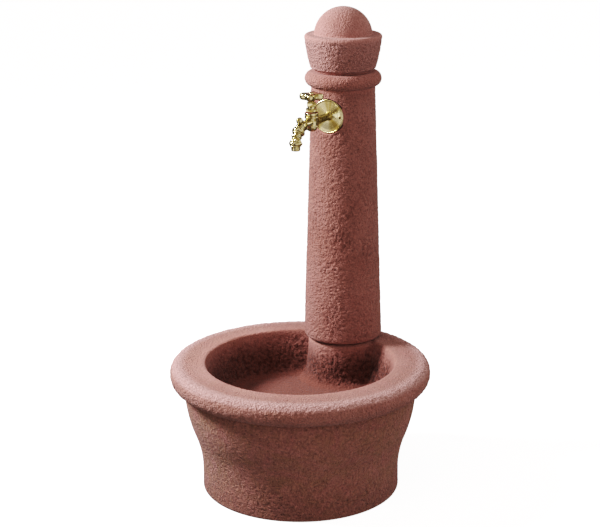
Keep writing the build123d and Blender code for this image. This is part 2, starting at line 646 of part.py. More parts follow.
def make_tap_extension():
    """Round extension in the column wall: socket for the tap's tail, thread for the elbow."""
    male_end = ELBOW_FACE - ELBOW_SOCKET + BORE_RESERVE
    body = drum(EXTENSION_RADIUS, EXTENSION_MALE, TAP_SEAT)
    male = drum(TAIL_RADIUS, male_end, EXTENSION_MALE)
    socket = drum(TAIL_RADIUS + TAP_CLEARANCE, TAP_SEAT - TAIL_LENGTH, TAP_SEAT + PAST)
    bore = drum(WATERWAY_RADIUS, male_end - PAST, TAP_SEAT)
    return TAP * FORWARD.location * (body + male - socket - bore)


def make_elbow_washer():
    """Rubber ring between the column's inner wall and the elbow."""
    washer = ring(TAIL_RADIUS + TAP_CLEARANCE, ELBOW_WASHER_RADIUS, ELBOW_FACE, EXTENSION_MALE)
    return TAP * FORWARD.location * washer


def make_elbow():
    """Elbow inside the column: threaded socket to the front, arm down for the pipe."""
    socket_end = ELBOW_FACE - ELBOW_SOCKET
    arm_radius = PIPE_RADIUS + ELBOW_WALL
    front_radius = TAIL_RADIUS + ELBOW_WALL
    front = FORWARD.location * drum(front_radius, 0, ELBOW_FACE - RISER_OFFSET)
    solid = front + Sphere(front_radius) + drum(arm_radius, -FITTING_ARM, 0)
    socket = FORWARD.location * drum(TAIL_RADIUS + TAP_CLEARANCE, socket_end - RISER_OFFSET,
                                     ELBOW_FACE - RISER_OFFSET + PAST)
    bore = PIPE_RADIUS - PIPE_WALL
    knee = Sphere(bore) + drum(bore, -FITTING_ARM, 0)
    knee += FORWARD.location * drum(bore, 0, ELBOW_FACE - RISER_OFFSET)
    pipe_socket = drum(PIPE_RADIUS + PIPE_CLEARANCE, -FITTING_ARM - PAST, -PIPE_STOP)
    return RISER * (solid - socket - knee - pipe_socket)


def make_inlet_adapter():
    """Supply connection in the foot: arm for the pipe, hexagon and the outside thread below."""
    arm_top = ADAPTER_ARM_LOW + FITTING_ARM
    plain_low = INLET_HEIGHT + INLET_CHAMFER
    chamfered = cone(INLET_THREAD_RADIUS - INLET_CHAMFER, INLET_THREAD_RADIUS, INLET_HEIGHT, plain_low)
    thread = drum(INLET_THREAD_RADIUS, plain_low, ADAPTER_HEX_LOW)
    solid = chamfered + thread + prism(NUT_HEX, HEX_SIDES, ADAPTER_HEX_LOW, ADAPTER_ARM_LOW)
    solid += drum(PIPE_RADIUS + ELBOW_WALL, ADAPTER_ARM_LOW, arm_top)
    bore = drum(PIPE_RADIUS - PIPE_WALL, INLET_HEIGHT - PAST, arm_top)
    socket = drum(PIPE_RADIUS + PIPE_CLEARANCE, ADAPTER_ARM_LOW + PIPE_STOP, arm_top + PAST)
    return RISER_FOOT * (solid - bore - socket)


def make_riser_pipe():
    """Plain pipe from the adapter in the foot to the elbow behind the tap."""
    low = ADAPTER_ARM_LOW + PIPE_STOP
    pipe = ring(PIPE_RADIUS - PIPE_WALL, PIPE_RADIUS, low, ELBOW_HEIGHT - PIPE_STOP)
    return RISER_FOOT * pipe


def compression_nut():
    """Nut on the end of a fitting's arm, with the arm's end at height 0 and the pipe going up."""
    nut = prism(NUT_HEX, HEX_SIDES, -NUT_GRIP, OLIVE_HEIGHT + NUT_ROOF)
    grip = drum(PIPE_RADIUS + ELBOW_WALL + TAP_CLEARANCE, -NUT_GRIP - PAST, OLIVE_HEIGHT)
    return nut - grip - drum(PIPE_RADIUS + 2 * PIPE_CLEARANCE, 0, PAST)


def compression_olive():
    """Soft ring that the nut squeezes on the pipe, barrel-shaped."""
    bore = PIPE_RADIUS + PIPE_CLEARANCE
    low = (bore + OLIVE_EDGE, 0)
    high = (bore + OLIVE_EDGE, OLIVE_HEIGHT)
    return lathe(
        ThreePointArc(low, (OLIVE_RADIUS, OLIVE_HEIGHT / 2), high),
        Polyline(high, (bore, OLIVE_HEIGHT), (bore, 0), low),
    )


def at_both_fittings(piece):
    """The same piece on the adapter's arm and, upside down, on the elbow's arm."""
    low = RISER_FOOT * Pos(0, 0, ADAPTER_ARM_LOW + FITTING_ARM)
    high = RISER * Pos(0, 0, -FITTING_ARM) * Rot(X=180)
    return Compound(children=[low * piece, high * piece])


def make_riser_nuts():
    """The two compression nuts of the supply pipe."""
    return at_both_fittings(compression_nut())


def make_riser_olives():
    """The two soft rings of the supply pipe."""
    return at_both_fittings(compression_olive())


def make_riser_grommet():
    """Rubber bush that holds the pipe in its passage, with a flange on top of the boss."""
    bore = PIPE_RADIUS + PIPE_CLEARANCE
    flange_top = BASIN_HEIGHT + GROMMET_FLANGE_HEIGHT
    bush = ring(bore, PASSAGE_RADIUS - GROMMET_CLEARANCE, BASIN_HEIGHT - GROMMET_HEIGHT, BASIN_HEIGHT)
    flange = ring(bore, PASSAGE_RADIUS + GROMMET_FLANGE, BASIN_HEIGHT, flange_top)
    return RISER_FOOT * (bush + flange)


def make_drain_body():
    """Flanged waste: strainer seat, threaded barrel, plain spigot and the bridge for the screw."""
    seat_low = -STRAINER_THICKNESS
    thread_low = DRAIN_SPIGOT_LENGTH - DRAIN_DROP
    barrel = drum(DRAIN_THREAD_RADIUS, thread_low, -FLANGE_THICKNESS)
    barrel += drum(DRAIN_SPIGOT_RADIUS, -DRAIN_DROP, thread_low)
    under = -FLANGE_THICKNESS
    flange = lathe(
        FilletPolyline((0, under), (FLANGE_RADIUS, under), (FLANGE_RADIUS, 0), (0, 0),
                       radius=(0, FLANGE_ROUNDING)),
        Line((0, 0), (0, under)),
    )
    seat = drum(STRAINER_RADIUS + STRAINER_CLEARANCE, seat_low, PAST)
    bore = drum(DRAIN_BORE, -DRAIN_DROP - PAST, PAST)
    bar = Box(2 * (DRAIN_BORE + BRIDGE_BITE), BRIDGE_WIDTH, BRIDGE_DEPTH)
    bar = Pos(0, 0, seat_low - BRIDGE_DEPTH / 2) * bar
    bridge = bar + drum(BRIDGE_WIDTH, seat_low - BRIDGE_DEPTH, seat_low)
    tapped = drum(STRAINER_SCREW_RADIUS + TAP_CLEARANCE, seat_low - BRIDGE_DEPTH - PAST, PAST)
    return DRAIN * (barrel + flange - seat - bore + bridge - tapped)


def make_drain_strainer():
    """Perforated plate in the flange, countersunk for its screw."""
    plate = drum(STRAINER_RADIUS, -STRAINER_THICKNESS, 0)
    hole = drum(STRAINER_HOLE, -PAST, PAST)
    rows = zip(STRAINER_ROW_RADII, STRAINER_ROW_COUNTS)
    holes = [place * hole for radius, count in rows for place in PolarLocations(radius, count)]
    sink = cone(STRAINER_SCREW_RADIUS, STRAINER_HEAD_RADIUS, -STRAINER_HEAD, 0)
    return DRAIN * (plate - holes - sink - drum(STRAINER_SCREW_RADIUS + TAP_CLEARANCE, -PAST, 0))


def make_strainer_screw():
    """Countersunk screw from the strainer into the bridge."""
    tip = STRAINER_SCREW_RADIUS - STRAINER_HEAD_GAP
    head = cone(tip, STRAINER_HEAD_RADIUS - STRAINER_HEAD_GAP, -STRAINER_HEAD, 0)
    shank = drum(STRAINER_SCREW_RADIUS, -STRAINER_THICKNESS - BRIDGE_DEPTH, -STRAINER_HEAD)
    return DRAIN * (head + shank)


def make_drain_gasket():
    """Rubber ring under the flange, in the floor's seat."""
    low = -FLANGE_THICKNESS - DRAIN_GASKET_THICKNESS
    return DRAIN * ring(DRAIN_THREAD_RADIUS + DRAIN_CLEARANCE, FLANGE_RADIUS, low, -FLANGE_THICKNESS)


def make_drain_washer():
    """Rubber ring between the floor's underside and the back nut."""
    return DRAIN * ring(DRAIN_THREAD_RADIUS + DRAIN_CLEARANCE, DRAIN_WASHER_RADIUS,
                        -FLOOR_THICKNESS - DRAIN_WASHER_THICKNESS, -FLOOR_THICKNESS)


def make_drain_backnut():
    """Eight-sided back nut that clamps the waste to the floor."""
    high = -FLOOR_THICKNESS - DRAIN_WASHER_THICKNESS
    low = high - BACKNUT_HEIGHT
    bore = drum(DRAIN_THREAD_RADIUS + DRAIN_CLEARANCE, low - PAST, high + PAST)
    return DRAIN * (prism(BACKNUT_ACROSS, BACKNUT_SIDES, low, high) - bore)


PIECES = {
    "basin": make_basin,
    "basin_foot": make_basin_foot,
    "column": make_column,
    "column_bed": make_column_bed,
    "cap": make_cap,
    "tap_rosette": make_rosette,
    "tap_body": make_tap_body,
    "valve_disc": make_valve_disc,
    "valve_washer": make_valve_washer,
    "washer_nut": make_washer_nut,
    "bonnet_gasket": make_bonnet_gasket,
    "tap_bonnet": make_bonnet,
    "gland_packing": make_gland_packing,
    "gland_nut": make_gland_nut,
    "tap_spindle": make_spindle,
    "tap_handle": make_handle,
    "handle_screw": make_handle_screw,
    "tap_extension": make_tap_extension,
    "elbow_washer": make_elbow_washer,
    "wall_elbow": make_elbow,
    "inlet_adapter": make_inlet_adapter,
    "riser_pipe": make_riser_pipe,
    "riser_nuts": make_riser_nuts,
    "riser_olives": make_riser_olives,
    "riser_grommet": make_riser_grommet,
    "drain_body": make_drain_body,
    "drain_strainer": make_drain_strainer,
    "strainer_screw": make_strainer_screw,
    "drain_gasket": make_drain_gasket,
    "drain_washer": make_drain_washer,
    "drain_backnut": make_drain_backnut,
}

os.makedirs("parts", exist_ok=True)
for name, make in PIECES.items():
    export_step(make(), f"parts/{name}.step")
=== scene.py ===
import json
import math

import bmesh
import bpy
import numpy as np
from mathutils import Matrix, Vector


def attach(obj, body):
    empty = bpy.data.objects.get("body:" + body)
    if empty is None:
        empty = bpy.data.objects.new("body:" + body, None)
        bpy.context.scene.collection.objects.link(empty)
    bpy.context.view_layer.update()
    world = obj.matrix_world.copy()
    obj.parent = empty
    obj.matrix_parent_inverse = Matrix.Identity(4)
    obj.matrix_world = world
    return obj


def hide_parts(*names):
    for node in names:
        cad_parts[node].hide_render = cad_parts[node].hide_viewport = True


# Garden fountain of red cast stone with a polished brass tap.
# Metres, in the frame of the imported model: +Z up, the column towards +Y, the tap towards -Y.

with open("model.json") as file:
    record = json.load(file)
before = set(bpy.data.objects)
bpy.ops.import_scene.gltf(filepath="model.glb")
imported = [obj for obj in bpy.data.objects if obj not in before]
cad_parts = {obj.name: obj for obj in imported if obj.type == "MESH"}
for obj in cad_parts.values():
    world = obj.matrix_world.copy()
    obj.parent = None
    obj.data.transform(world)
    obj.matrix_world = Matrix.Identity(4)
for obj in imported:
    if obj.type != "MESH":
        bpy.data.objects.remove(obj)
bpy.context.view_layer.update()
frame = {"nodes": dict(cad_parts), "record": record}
NODES = frame["nodes"]
MM = 0.001

# Places and sizes in metres, as in the solids
RIM_TOP = 0.252
RIM_UNDER = 0.206
BOWL_FLOOR = 0.166
BOWL_MOUTH = 0.1858
BED_RADIUS = 0.066
COLUMN_Y = 0.172
COLUMN_FOOT = 0.2545
COLUMN_TOP = 0.7855
RING_LOW = 0.7575
CAP_BAND = 0.8505
TAP_HEIGHT = 0.707
SEAT_Y = 0.116
VALVE_Y = 0.049
RECESS_RADIUS = 0.034

# Where the stone's finish begins and is full, in metres: radius on rim, wall and column, height on the foot.
# The rim's crest is paled with dust and a painted highlight; the foot darkens with painted shade
RIM_CREST = (0.216, 0.236)
FOOT_SHADE = 0.09
WALL_SKIN = (0.1855, 0.1885)
COLUMN_SKIN = (0.055, 0.058)

# Distance between the mesh points that take the hammering, in millimetres
WALL_GRID = 2.02
BOWL_GRID = 2.45
COLUMN_GRID = 1.72
CAP_GRID = 1.15
# The same where wall and column are plain inside
WALL_PLAIN_GRID = 24.0
COLUMN_PLAIN_GRID = 12.0
# Share of the faces taken out where the bowl is never seen
THINNED = 0.96

# Basin outline in millimetres, and the hidden seam between its wall and its bowl
FOOT_FACE = 190.5
FOOT_EDGE = 4.0
WAIST = (190.0, 36.0)
WALL_TURN = (205.18, 114.2)
NECK = (223.0, 206.0)
WALL_INSIDE = [(223.0, 212.0), (206.0, 212.0), (172.0, 136.0), (164.1, 121.0), (167.5, 0.0)]
SEAM = (164.0, 118.0)
BELOW_SEAM = [(0, -20.0), (300.0, -20.0), (300.0, 205.5), (222.5, 205.5), SEAM, (0, SEAM[1])]

# Column outline in millimetres above its foot
SHAFT_FOOT = 77.0
SHAFT_NECK = 62.0
FOOT_ROUNDING = 9.0
RING_START = 503.0
RING_SWELL = 12.0
COLUMN_HEIGHT = 531.0
BORE_FOOT = 51.0
BORE_TOP = 41.0
# Hole for the tap, from the column's axis out to the flat seat of the rosette
TAP_HOLE = [(0, 0), (13.5, 0), (13.5, 44.0), (12.0, 44.0), (12.0, 56.0),
            (34.0, 56.0), (34.0, 90.0), (0, 90.0)]

# Shadow groove round the cap's foot, in millimetres above the column
CAP_GROOVE = [(56.0, -1.0), (80.0, -1.0), (80.0, 7.0), (62.0, 6.0), (57.0, 3.5)]

# Tap: sizes in millimetres, measured from the crossing of the stem's and the spindle's axes.
# Outlines are pairs of radius and height.
BARREL = 11.5
BARREL_LOW = -17.0
BARREL_TOP = 19.0
BEADS = (-8.4, 8.6)
BEAD = 1.8
BEAD_HALF = 2.0
BARREL_COLLAR = [(BARREL, 12.8), (12.7, 14.0), (12.9, 14.4), (12.9, 18.4),
                 (12.5, BARREL_TOP), (0, BARREL_TOP)]
STEM_END = 64.0
STEM = [(0, 0), (10.35, 0), (8.3, 30.0), (7.2, 52.0), (7.0, 57.0), (7.2, 60.0), (8.0, 61.6),
        (8.4, 62.4), (8.4, 63.6), (8.2, STEM_END), (0, STEM_END)]
SPOUT = 8.4
SPOUT_RUN = 27.0
SPOUT_LIP = 2.0
SPOUT_STEP = 0.4
BEND = 33.0
NOZZLE = 9.0
SPOUT_SWELL = 1.4
SCALE_START = 4.0
SCALE_ROW = 7.2
SCALE_COUNT = 6
SCALE_DEPTH = 2.4
# How fast a leaf scale swells at its foot, and how much it narrows towards its tip
LEAF_SWELL = 1.6
LEAF_TAPER = 0.75
COLLAR_ANGLES = (43.0, 82.0)
COLLAR = 12.4
COLLAR_FOOT = 9.6
COLLAR_HALF = 3.2
SIDE_RING = 2.0
WATERWAY = 4.0
WATERWAY_EDGE = 0.6
WATERWAY_DEPTH = 14.0
KNOB_ANGLE = 22.0
KNOB = 6.2
KNOB_STAND = 15.0
KNOB_NECK = [(0, -11.0), (3.4, -11.0), (3.4, -5.6)]
# Hexagons by their size across the flats, their foot and their top; their turned ends are this much smaller
HEXAGON_END = 0.98
BONNET_HEXAGON = (21.0, 20.0, 27.0)
BONNET_NECK = [(0, 26.5), (7.5, 26.5), (7.5, 35.0), (0, 35.0)]
GLAND_HEXAGON = (17.0, 30.5, 38.6)
GLAND_TOP = [(0, 38.0), (6.8, 38.0), (6.8, 39.3), (6.4, 39.8), (0, 39.8)]
HANDLE_LOW = 41.3
HANDLE_DISC = 43.3
HANDLE_TOP = 55.3
HANDLE_HUB = 14.0
HANDLE_SPAN = 46.0
HANDLE_ANGLE = 18.0
HANDLE_LOBES = 4
HANDLE_SKIRT = [(0, HANDLE_LOW), (5.2, HANDLE_LOW), (5.9, HANDLE_LOW + 0.5), (7.4, HANDLE_DISC)]
HANDLE_CROWN = 5.2
# The lobes' edge is rounded to this angle above and below its middle, and draws in by this share
HANDLE_EDGE = 75.0
HANDLE_TUCK = 0.85
SCREW_HEAD = [(0, -0.3), (4.6, -0.3), (4.6, 0.3), (4.2, 1.1), (3.0, 1.8), (1.5, 2.1), (0, 2.2)]
# Room inside body, bonnet and gland nut for the valve and the spindle
VALVE_ROOM = [(0, -4.0), (4.6, -4.0), (4.6, 0.9), (8.2, 0.9), (8.2, BARREL_TOP + 1.0), (0, BARREL_TOP + 1.0)]
SPINDLE_ROOM = [(0, 19.0), (6.1, 19.0), (6.1, 36.0), (0, 36.0)]
GLAND_ROOM = [(0, 30.0), (7.6, 30.0), (7.6, 35.8), (4.1, 35.8), (4.1, 40.5), (0, 40.5)]

# Rosette and its two fixing screws: millimetres above the seat on the column
ROSETTE_BACK = [(0, 0), (23.0, 0), (32.6, 2.2)]
ROSETTE_LIP = (31.2, 3.9)
ROSETTE_LIP_RADIUS = 1.6
ROSETTE_FACE = [(29.0, 4.9), (24.0, 4.3), (18.0, 3.6), (13.2, 3.05), (12.5, 3.0), (0, 3.0)]
FIXING_REACH = 25.5
FIXING_HEAD = [(0, 3.2), (2.6, 3.2), (2.6, 4.7), (2.3, 5.3), (1.3, 5.7), (0, 5.8)]
# Length, width, floor and top of the cut for the screwdriver
FIXING_SLOT = (8.0, 0.8, 5.0, 7.0)

# Studio: the photograph's camera, in metres, and its focal length in pixels of a picture this wide
CAMERA_TURN = math.radians(30.0)
CAMERA_PITCH = math.radians(16.7)
CAMERA_YAW = math.radians(0.02)
CAMERA_ROLL = math.radians(-0.35)
CAMERA_REACH = 3.073
CAMERA_HEIGHT = 1.367
CAMERA_FOCUS = 1700.0
PICTURE_WIDTH = 600.0
SENSOR_WIDTH = 36.0
FLOOR_HALF = 30.0
FLOOR_GLOW = 1.7
# Key light, a round soft box at the camera's left
KEY_SIDE = math.radians(93.0)
KEY_RISE = math.radians(36.0)
KEY_REACH = 1.9
KEY_AIM = 0.45
KEY_SIZE = 0.6
KEY_POWER = 87.0
KEY_TINT = (0.96, 1.0, 1.06)
# Soft panels of the studio: aim towards the camera, right and up, cosine of edge and core, brightness
PANELS = (
    ((1.0, -0.9, 0.9), 0.94, 0.96, 1.2),
    ((-0.5, 0.9, 0.5), 0.92, 0.95, 2.0),
    ((0.5, -0.85, -0.3), 0.93, 0.985, 1.3),
    ((1.0, 0.9, 0.1), 0.50, 0.90, 0.88),
    ((0.2, 0.0, 1.0), 0.75, 0.95, 0.64),
)
ROOM_GLOW = 0.17
FILL_TINT = (1.0, 0.92, 0.89, 1.0)
# Tone curve of a printed photograph: deep shadows and soft highlights, light against what is shown
TONE_WHITE = 2.0
TONE_CURVE = ((0.05, 0.026), (0.1, 0.068), (0.25, 0.24), (0.5, 0.46), (1.0, 0.72), (1.5, 0.89))


def linear(code):
    """An sRGB hex colour as linear RGBA."""
    parts = [int(code[i:i + 2], 16) / 255 for i in (1, 3, 5)]
    return [c / 12.92 if c <= 0.04045 else ((c + 0.055) / 1.055) ** 2.4 for c in parts] + [1.0]


def add(tree, kind, inputs=None, **settings):
    """Adds one node with its settings, and sets or links its inputs."""
    node = tree.nodes.new(kind)
    for name, value in settings.items():
        setattr(node, name, value)
    for key, value in (inputs or {}).items():
        socket = node.inputs[key]
        if isinstance(value, bpy.types.NodeSocket):
            tree.links.new(value, socket)
        else:
            socket.default_value = value
    return node


def new_material(name):
    """An empty material: its tree, its shader and the object's own coordinates."""
    material = bpy.data.materials.new(name)
    material.use_nodes = True
    tree = material.node_tree
    return material, tree, tree.nodes["Principled BSDF"], add(tree, "ShaderNodeTexCoord").outputs["Object"]


def cast_stone():
    """Cast stone of red sandstone grit and cement, hammered and sanded: dry, red, with painted shade in its
    hollows, pale and dusty on the proud grit, the pale partly a painted highlight, with crumbly grit that
    catches a raking light.
    The mesh says where it is lumpy, grainy, paled with dusty wear and painted highlight, darkened with
    painted shade or stained with earth."""
    material, tree, shader, place = new_material("red_cast_stone")
    weights = add(tree, "ShaderNodeAttribute", attribute_name="weights").outputs["Vector"]
    lump, _, grain = add(tree, "ShaderNodeSeparateXYZ", {0: weights}).outputs
    tints = add(tree, "ShaderNodeAttribute", attribute_name="tints").outputs["Vector"]
    dust_and_highlight, deep_shade, earth = add(tree, "ShaderNodeSeparateXYZ", {0: tints}).outputs
    relief = add(tree, "ShaderNodeAttribute", attribute_name="relief").outputs["Fac"]
    cloud = add(tree, "ShaderNodeTexNoise", {"Vector": place, "Scale": 1 / (75 * MM), "Detail": 4.0,
                                             "Roughness": 0.6}).outputs["Fac"]
    cloud = add(tree, "ShaderNodeMapRange", {"Value": cloud, "From Min": 0.34, "From Max": 0.66}).outputs[0]
    tone = add(tree, "ShaderNodeMix", {0: cloud, 6: linear("#96645a"), 7: linear("#a4736a")},
               data_type="RGBA").outputs[2]
    stain = add(tree, "ShaderNodeTexNoise", {"Vector": place, "Scale": 1 / (38 * MM), "Detail": 5.0,
                                             "Roughness": 0.65, "Distortion": 0.8}).outputs["Fac"]
    stain = add(tree, "ShaderNodeMapRange", {"Value": stain, "From Min": 0.34, "From Max": 0.64}).outputs[0]
    stain = add(tree, "ShaderNodeMath", {0: stain, 1: earth}, operation="MULTIPLY").outputs[0]
    tone = add(tree, "ShaderNodeMix", {0: stain, 6: tone, 7: linear("#8f6753")}, data_type="RGBA").outputs[2]
    # Painted shade: the tone darkens to a dark red down in the bowl, at the wall's foot and a little on the
    # shaft
    tone = add(tree, "ShaderNodeMix", {0: deep_shade, 6: tone, 7: linear("#73453a")}, data_type="RGBA").outputs[2]
    # Painted shade: the relief's hollows are darkened, a little on column and cap, strongly down in the bowl
    # and where stained with earth
    hollow = add(tree, "ShaderNodeMapRange", {"Value": relief, "From Min": 0.28, "From Max": 0.62,
                                              "To Min": 1.0, "To Max": 0.0}).outputs[0]
    depth = add(tree, "ShaderNodeMapRange", {"Value": deep_shade, "To Min": 0.22, "To Max": 0.95}).outputs[0]
    depth = add(tree, "ShaderNodeMath", {0: earth, 1: 0.65, 2: depth}, operation="MULTIPLY_ADD").outputs[0]
    hollow = add(tree, "ShaderNodeMath", {0: hollow, 1: depth}, operation="MULTIPLY").outputs[0]
    tone = add(tree, "ShaderNodeMix", {0: hollow, 6: tone, 7: linear("#52251b")}, data_type="RGBA").outputs[2]
    grit = add(tree, "ShaderNodeTexNoise", {"Vector": place, "Scale": 1 / (3.1 * MM), "Detail": 1.5,
                                            "Roughness": 0.6}).outputs["Fac"]
    grit = add(tree, "ShaderNodeMapRange", {"Value": grit, "From Min": 0.3, "From Max": 0.7}).outputs[0]
    crumb = add(tree, "ShaderNodeTexNoise", {"Vector": place, "Scale": 1 / (5.5 * MM), "Detail": 3.0,
                                             "Roughness": 0.65}).outputs["Fac"]
    crumb = add(tree, "ShaderNodeMapRange", {"Value": crumb, "From Min": 0.32, "From Max": 0.68}).outputs[0]
    # Pale dust on the proud grit: partly real dust, partly a painted highlight for the paler lit surfaces
    pale_dust_and_highlight = add(tree, "ShaderNodeMapRange", {"Value": grit, "From Min": 0.1, "From Max": 0.8, "To Min": 0.4,
                                            "To Max": 1.0}).outputs[0]
    pale_dust_and_highlight = add(tree, "ShaderNodeMath", {0: pale_dust_and_highlight, 1: dust_and_highlight}, operation="MULTIPLY").outputs[0]
    tone = add(tree, "ShaderNodeMix", {0: pale_dust_and_highlight, 6: tone, 7: linear("#c8a09b")}, data_type="RGBA").outputs[2]
    speck = add(tree, "ShaderNodeMapRange", {"Value": grit, "To Min": 0.86, "To Max": 1.12}).outputs[0]
    tone = add(tree, "ShaderNodeVectorMath", {0: tone, "Scale": speck}, operation="SCALE").outputs[0]
    shade = add(tree, "ShaderNodeMapRange", {"Value": crumb, "To Min": -0.22, "To Max": 0.16}).outputs[0]
    coarse = add(tree, "ShaderNodeMath", {0: deep_shade, 1: 0.8, 2: 0.2}, operation="MULTIPLY_ADD").outputs[0]
    coarse = add(tree, "ShaderNodeMath", {0: coarse, 1: lump}, operation="MULTIPLY").outputs[0]
    coarse = add(tree, "ShaderNodeMath", {0: earth, 1: 1.1, 2: coarse}, operation="MULTIPLY_ADD").outputs[0]
    shade = add(tree, "ShaderNodeMath", {0: shade, 1: coarse, 2: 1.0}, operation="MULTIPLY_ADD").outputs[0]
    tone = add(tree, "ShaderNodeVectorMath", {0: tone, "Scale": shade}, operation="SCALE").outputs[0]
    tree.links.new(tone, shader.inputs["Base Color"])
    shader.inputs["Roughness"].default_value = 0.9
    shader.inputs["Specular IOR Level"].default_value = 0.3
    shader.inputs["Sheen Weight"].default_value = 0.1
    shader.inputs["Sheen Roughness"].default_value = 0.5
    pitted = add(tree, "ShaderNodeMath", {0: earth, 1: 0.8, 2: lump}, operation="MULTIPLY_ADD").outputs[0]
    crumb = add(tree, "ShaderNodeMath", {0: crumb, 1: pitted}, operation="MULTIPLY").outputs[0]
    fine = add(tree, "ShaderNodeMapRange", {"Value": grain, "To Min": 0.3, "To Max": 1.7}).outputs[0]
    rough = add(tree, "ShaderNodeMath", {0: grit, 1: fine}, operation="MULTIPLY").outputs[0]
    heavy = add(tree, "ShaderNodeMapRange", {"Value": deep_shade, "To Min": 1.2, "To Max": 2.2}).outputs[0]
    rough = add(tree, "ShaderNodeMath", {0: crumb, 1: heavy, 2: rough}, operation="MULTIPLY_ADD").outputs[0]
    bump = add(tree, "ShaderNodeBump", {"Height": rough, "Strength": 1.0, "Distance": 1.3 * MM})
    tree.links.new(bump.outputs["Normal"], shader.inputs["Normal"])
    return material


def polished_brass():
    """Cast brass, turned and polished bright: clear pale-gold reflections with a few rougher handling
    smudges, painted darker as dark reflections.
    """
    material, tree, shader, place = new_material("polished_brass")
    smear = add(tree, "ShaderNodeTexNoise", {"Vector": place, "Scale": 1 / (6 * MM),
                                             "Detail": 3.0}).outputs["Fac"]
    rough = add(tree, "ShaderNodeMapRange", {"Value": smear, "From Min": 0.35, "From Max": 0.75,
                                             "To Min": 0.07, "To Max": 0.2}).outputs[0]
    # Painted reflection: the smudges are painted dark, standing in for dark reflections
    marks_and_dark_reflection = add(tree, "ShaderNodeMapRange", {"Value": smear, "From Min": 0.44, "From Max": 0.62}).outputs[0]
    tone = add(tree, "ShaderNodeMix", {0: marks_and_dark_reflection, 6: linear("#dcd2a6"), 7: linear("#978447")},
               data_type="RGBA").outputs[2]
    tree.links.new(tone, shader.inputs["Base Color"])
    tree.links.new(rough, shader.inputs["Roughness"])
    shader.inputs["Metallic"].default_value = 1.0
    return material


def spun_brass():
    """Sheet brass, spun and buffed in circles, with painted reflections: fans of pale and dark that turn
    about its middle.
    """
    material, tree, shader, place = new_material("spun_brass")
    spot = add(tree, "ShaderNodeVectorMath", {0: place, 1: (0.0, 0.0, TAP_HEIGHT)},
               operation="SUBTRACT").outputs[0]
    parts = add(tree, "ShaderNodeSeparateXYZ", {0: spot}).outputs
    across = add(tree, "ShaderNodeCombineXYZ", {"X": parts["X"], "Z": parts["Z"]}).outputs[0]
    reach = add(tree, "ShaderNodeVectorMath", {0: across}, operation="LENGTH").outputs["Value"]
    # Buffing lines of about 0.3 mm, drawn 1.2 mm apart so that they show
    lines = add(tree, "ShaderNodeTexNoise", {"W": reach, "Scale": 1 / (1.2 * MM), "Detail": 2.0},
                noise_dimensions="1D").outputs["Fac"]
    heading = add(tree, "ShaderNodeVectorMath", {0: across}, operation="NORMALIZE").outputs[0]
    # Painted reflection: pale and dark fans by heading about the rosette's middle
    painted_fan_reflection = add(tree, "ShaderNodeTexNoise", {"Vector": heading, "Scale": 1.7, "Detail": 1.0}).outputs["Fac"]
    painted_fan_reflection = add(tree, "ShaderNodeMapRange", {"Value": painted_fan_reflection, "From Min": 0.36, "From Max": 0.62}).outputs[0]
    tone = add(tree, "ShaderNodeMix", {0: lines, 6: linear("#d2c592"), 7: linear("#ebe3c0")},
               data_type="RGBA").outputs[2]
    tone = add(tree, "ShaderNodeMix", {0: painted_fan_reflection, 6: linear("#a48f52"), 7: tone}, data_type="RGBA").outputs[2]
    rough = add(tree, "ShaderNodeMapRange", {"Value": lines, "From Min": 0.3, "From Max": 0.7, "To Min": 0.2,
                                             "To Max": 0.36}).outputs[0]
    minus = add(tree, "ShaderNodeMath", {0: parts["X"], 1: -1.0}, operation="MULTIPLY").outputs[0]
    round_line = add(tree, "ShaderNodeCombineXYZ", {"X": parts["Z"], "Z": minus}).outputs[0]
    tree.links.new(tone, shader.inputs["Base Color"])
    tree.links.new(rough, shader.inputs["Roughness"])
    tree.links.new(round_line, shader.inputs["Tangent"])
    shader.inputs["Metallic"].default_value = 1.0
    shader.inputs["Anisotropic"].default_value = 0.8
    return material


def plain_finish(name, low, high, size, rough, metal=0.0, depth=0.1, stretch=(1.0, 1.0, 1.0)):
    """A hidden or small piece: two tones and a fine unevenness of one real size."""
    material, tree, shader, place = new_material(name)
    drawn = add(tree, "ShaderNodeMapping", {"Vector": place, "Scale": stretch}).outputs[0]
    patch = add(tree, "ShaderNodeTexNoise", {"Vector": drawn, "Scale": 1 / (size * MM),
                                             "Detail": 3.0}).outputs["Fac"]
    tone = add(tree, "ShaderNodeMix", {0: patch, 6: linear(low), 7: linear(high)},
               data_type="RGBA").outputs[2]
    tree.links.new(tone, shader.inputs["Base Color"])
    gloss = add(tree, "ShaderNodeMapRange", {"Value": patch, "From Min": 0.3, "From Max": 0.7,
                                             "To Min": rough - 0.08, "To Max": rough + 0.08}).outputs[0]
    tree.links.new(gloss, shader.inputs["Roughness"])
    shader.inputs["Metallic"].default_value = metal
    bump = add(tree, "ShaderNodeBump", {"Height": patch, "Strength": 0.4, "Distance": depth * MM})
    tree.links.new(bump.outputs["Normal"], shader.inputs["Normal"])
    return material


STONE = cast_stone()
BRASS = polished_brass()
SPUN_BRASS = spun_brass()
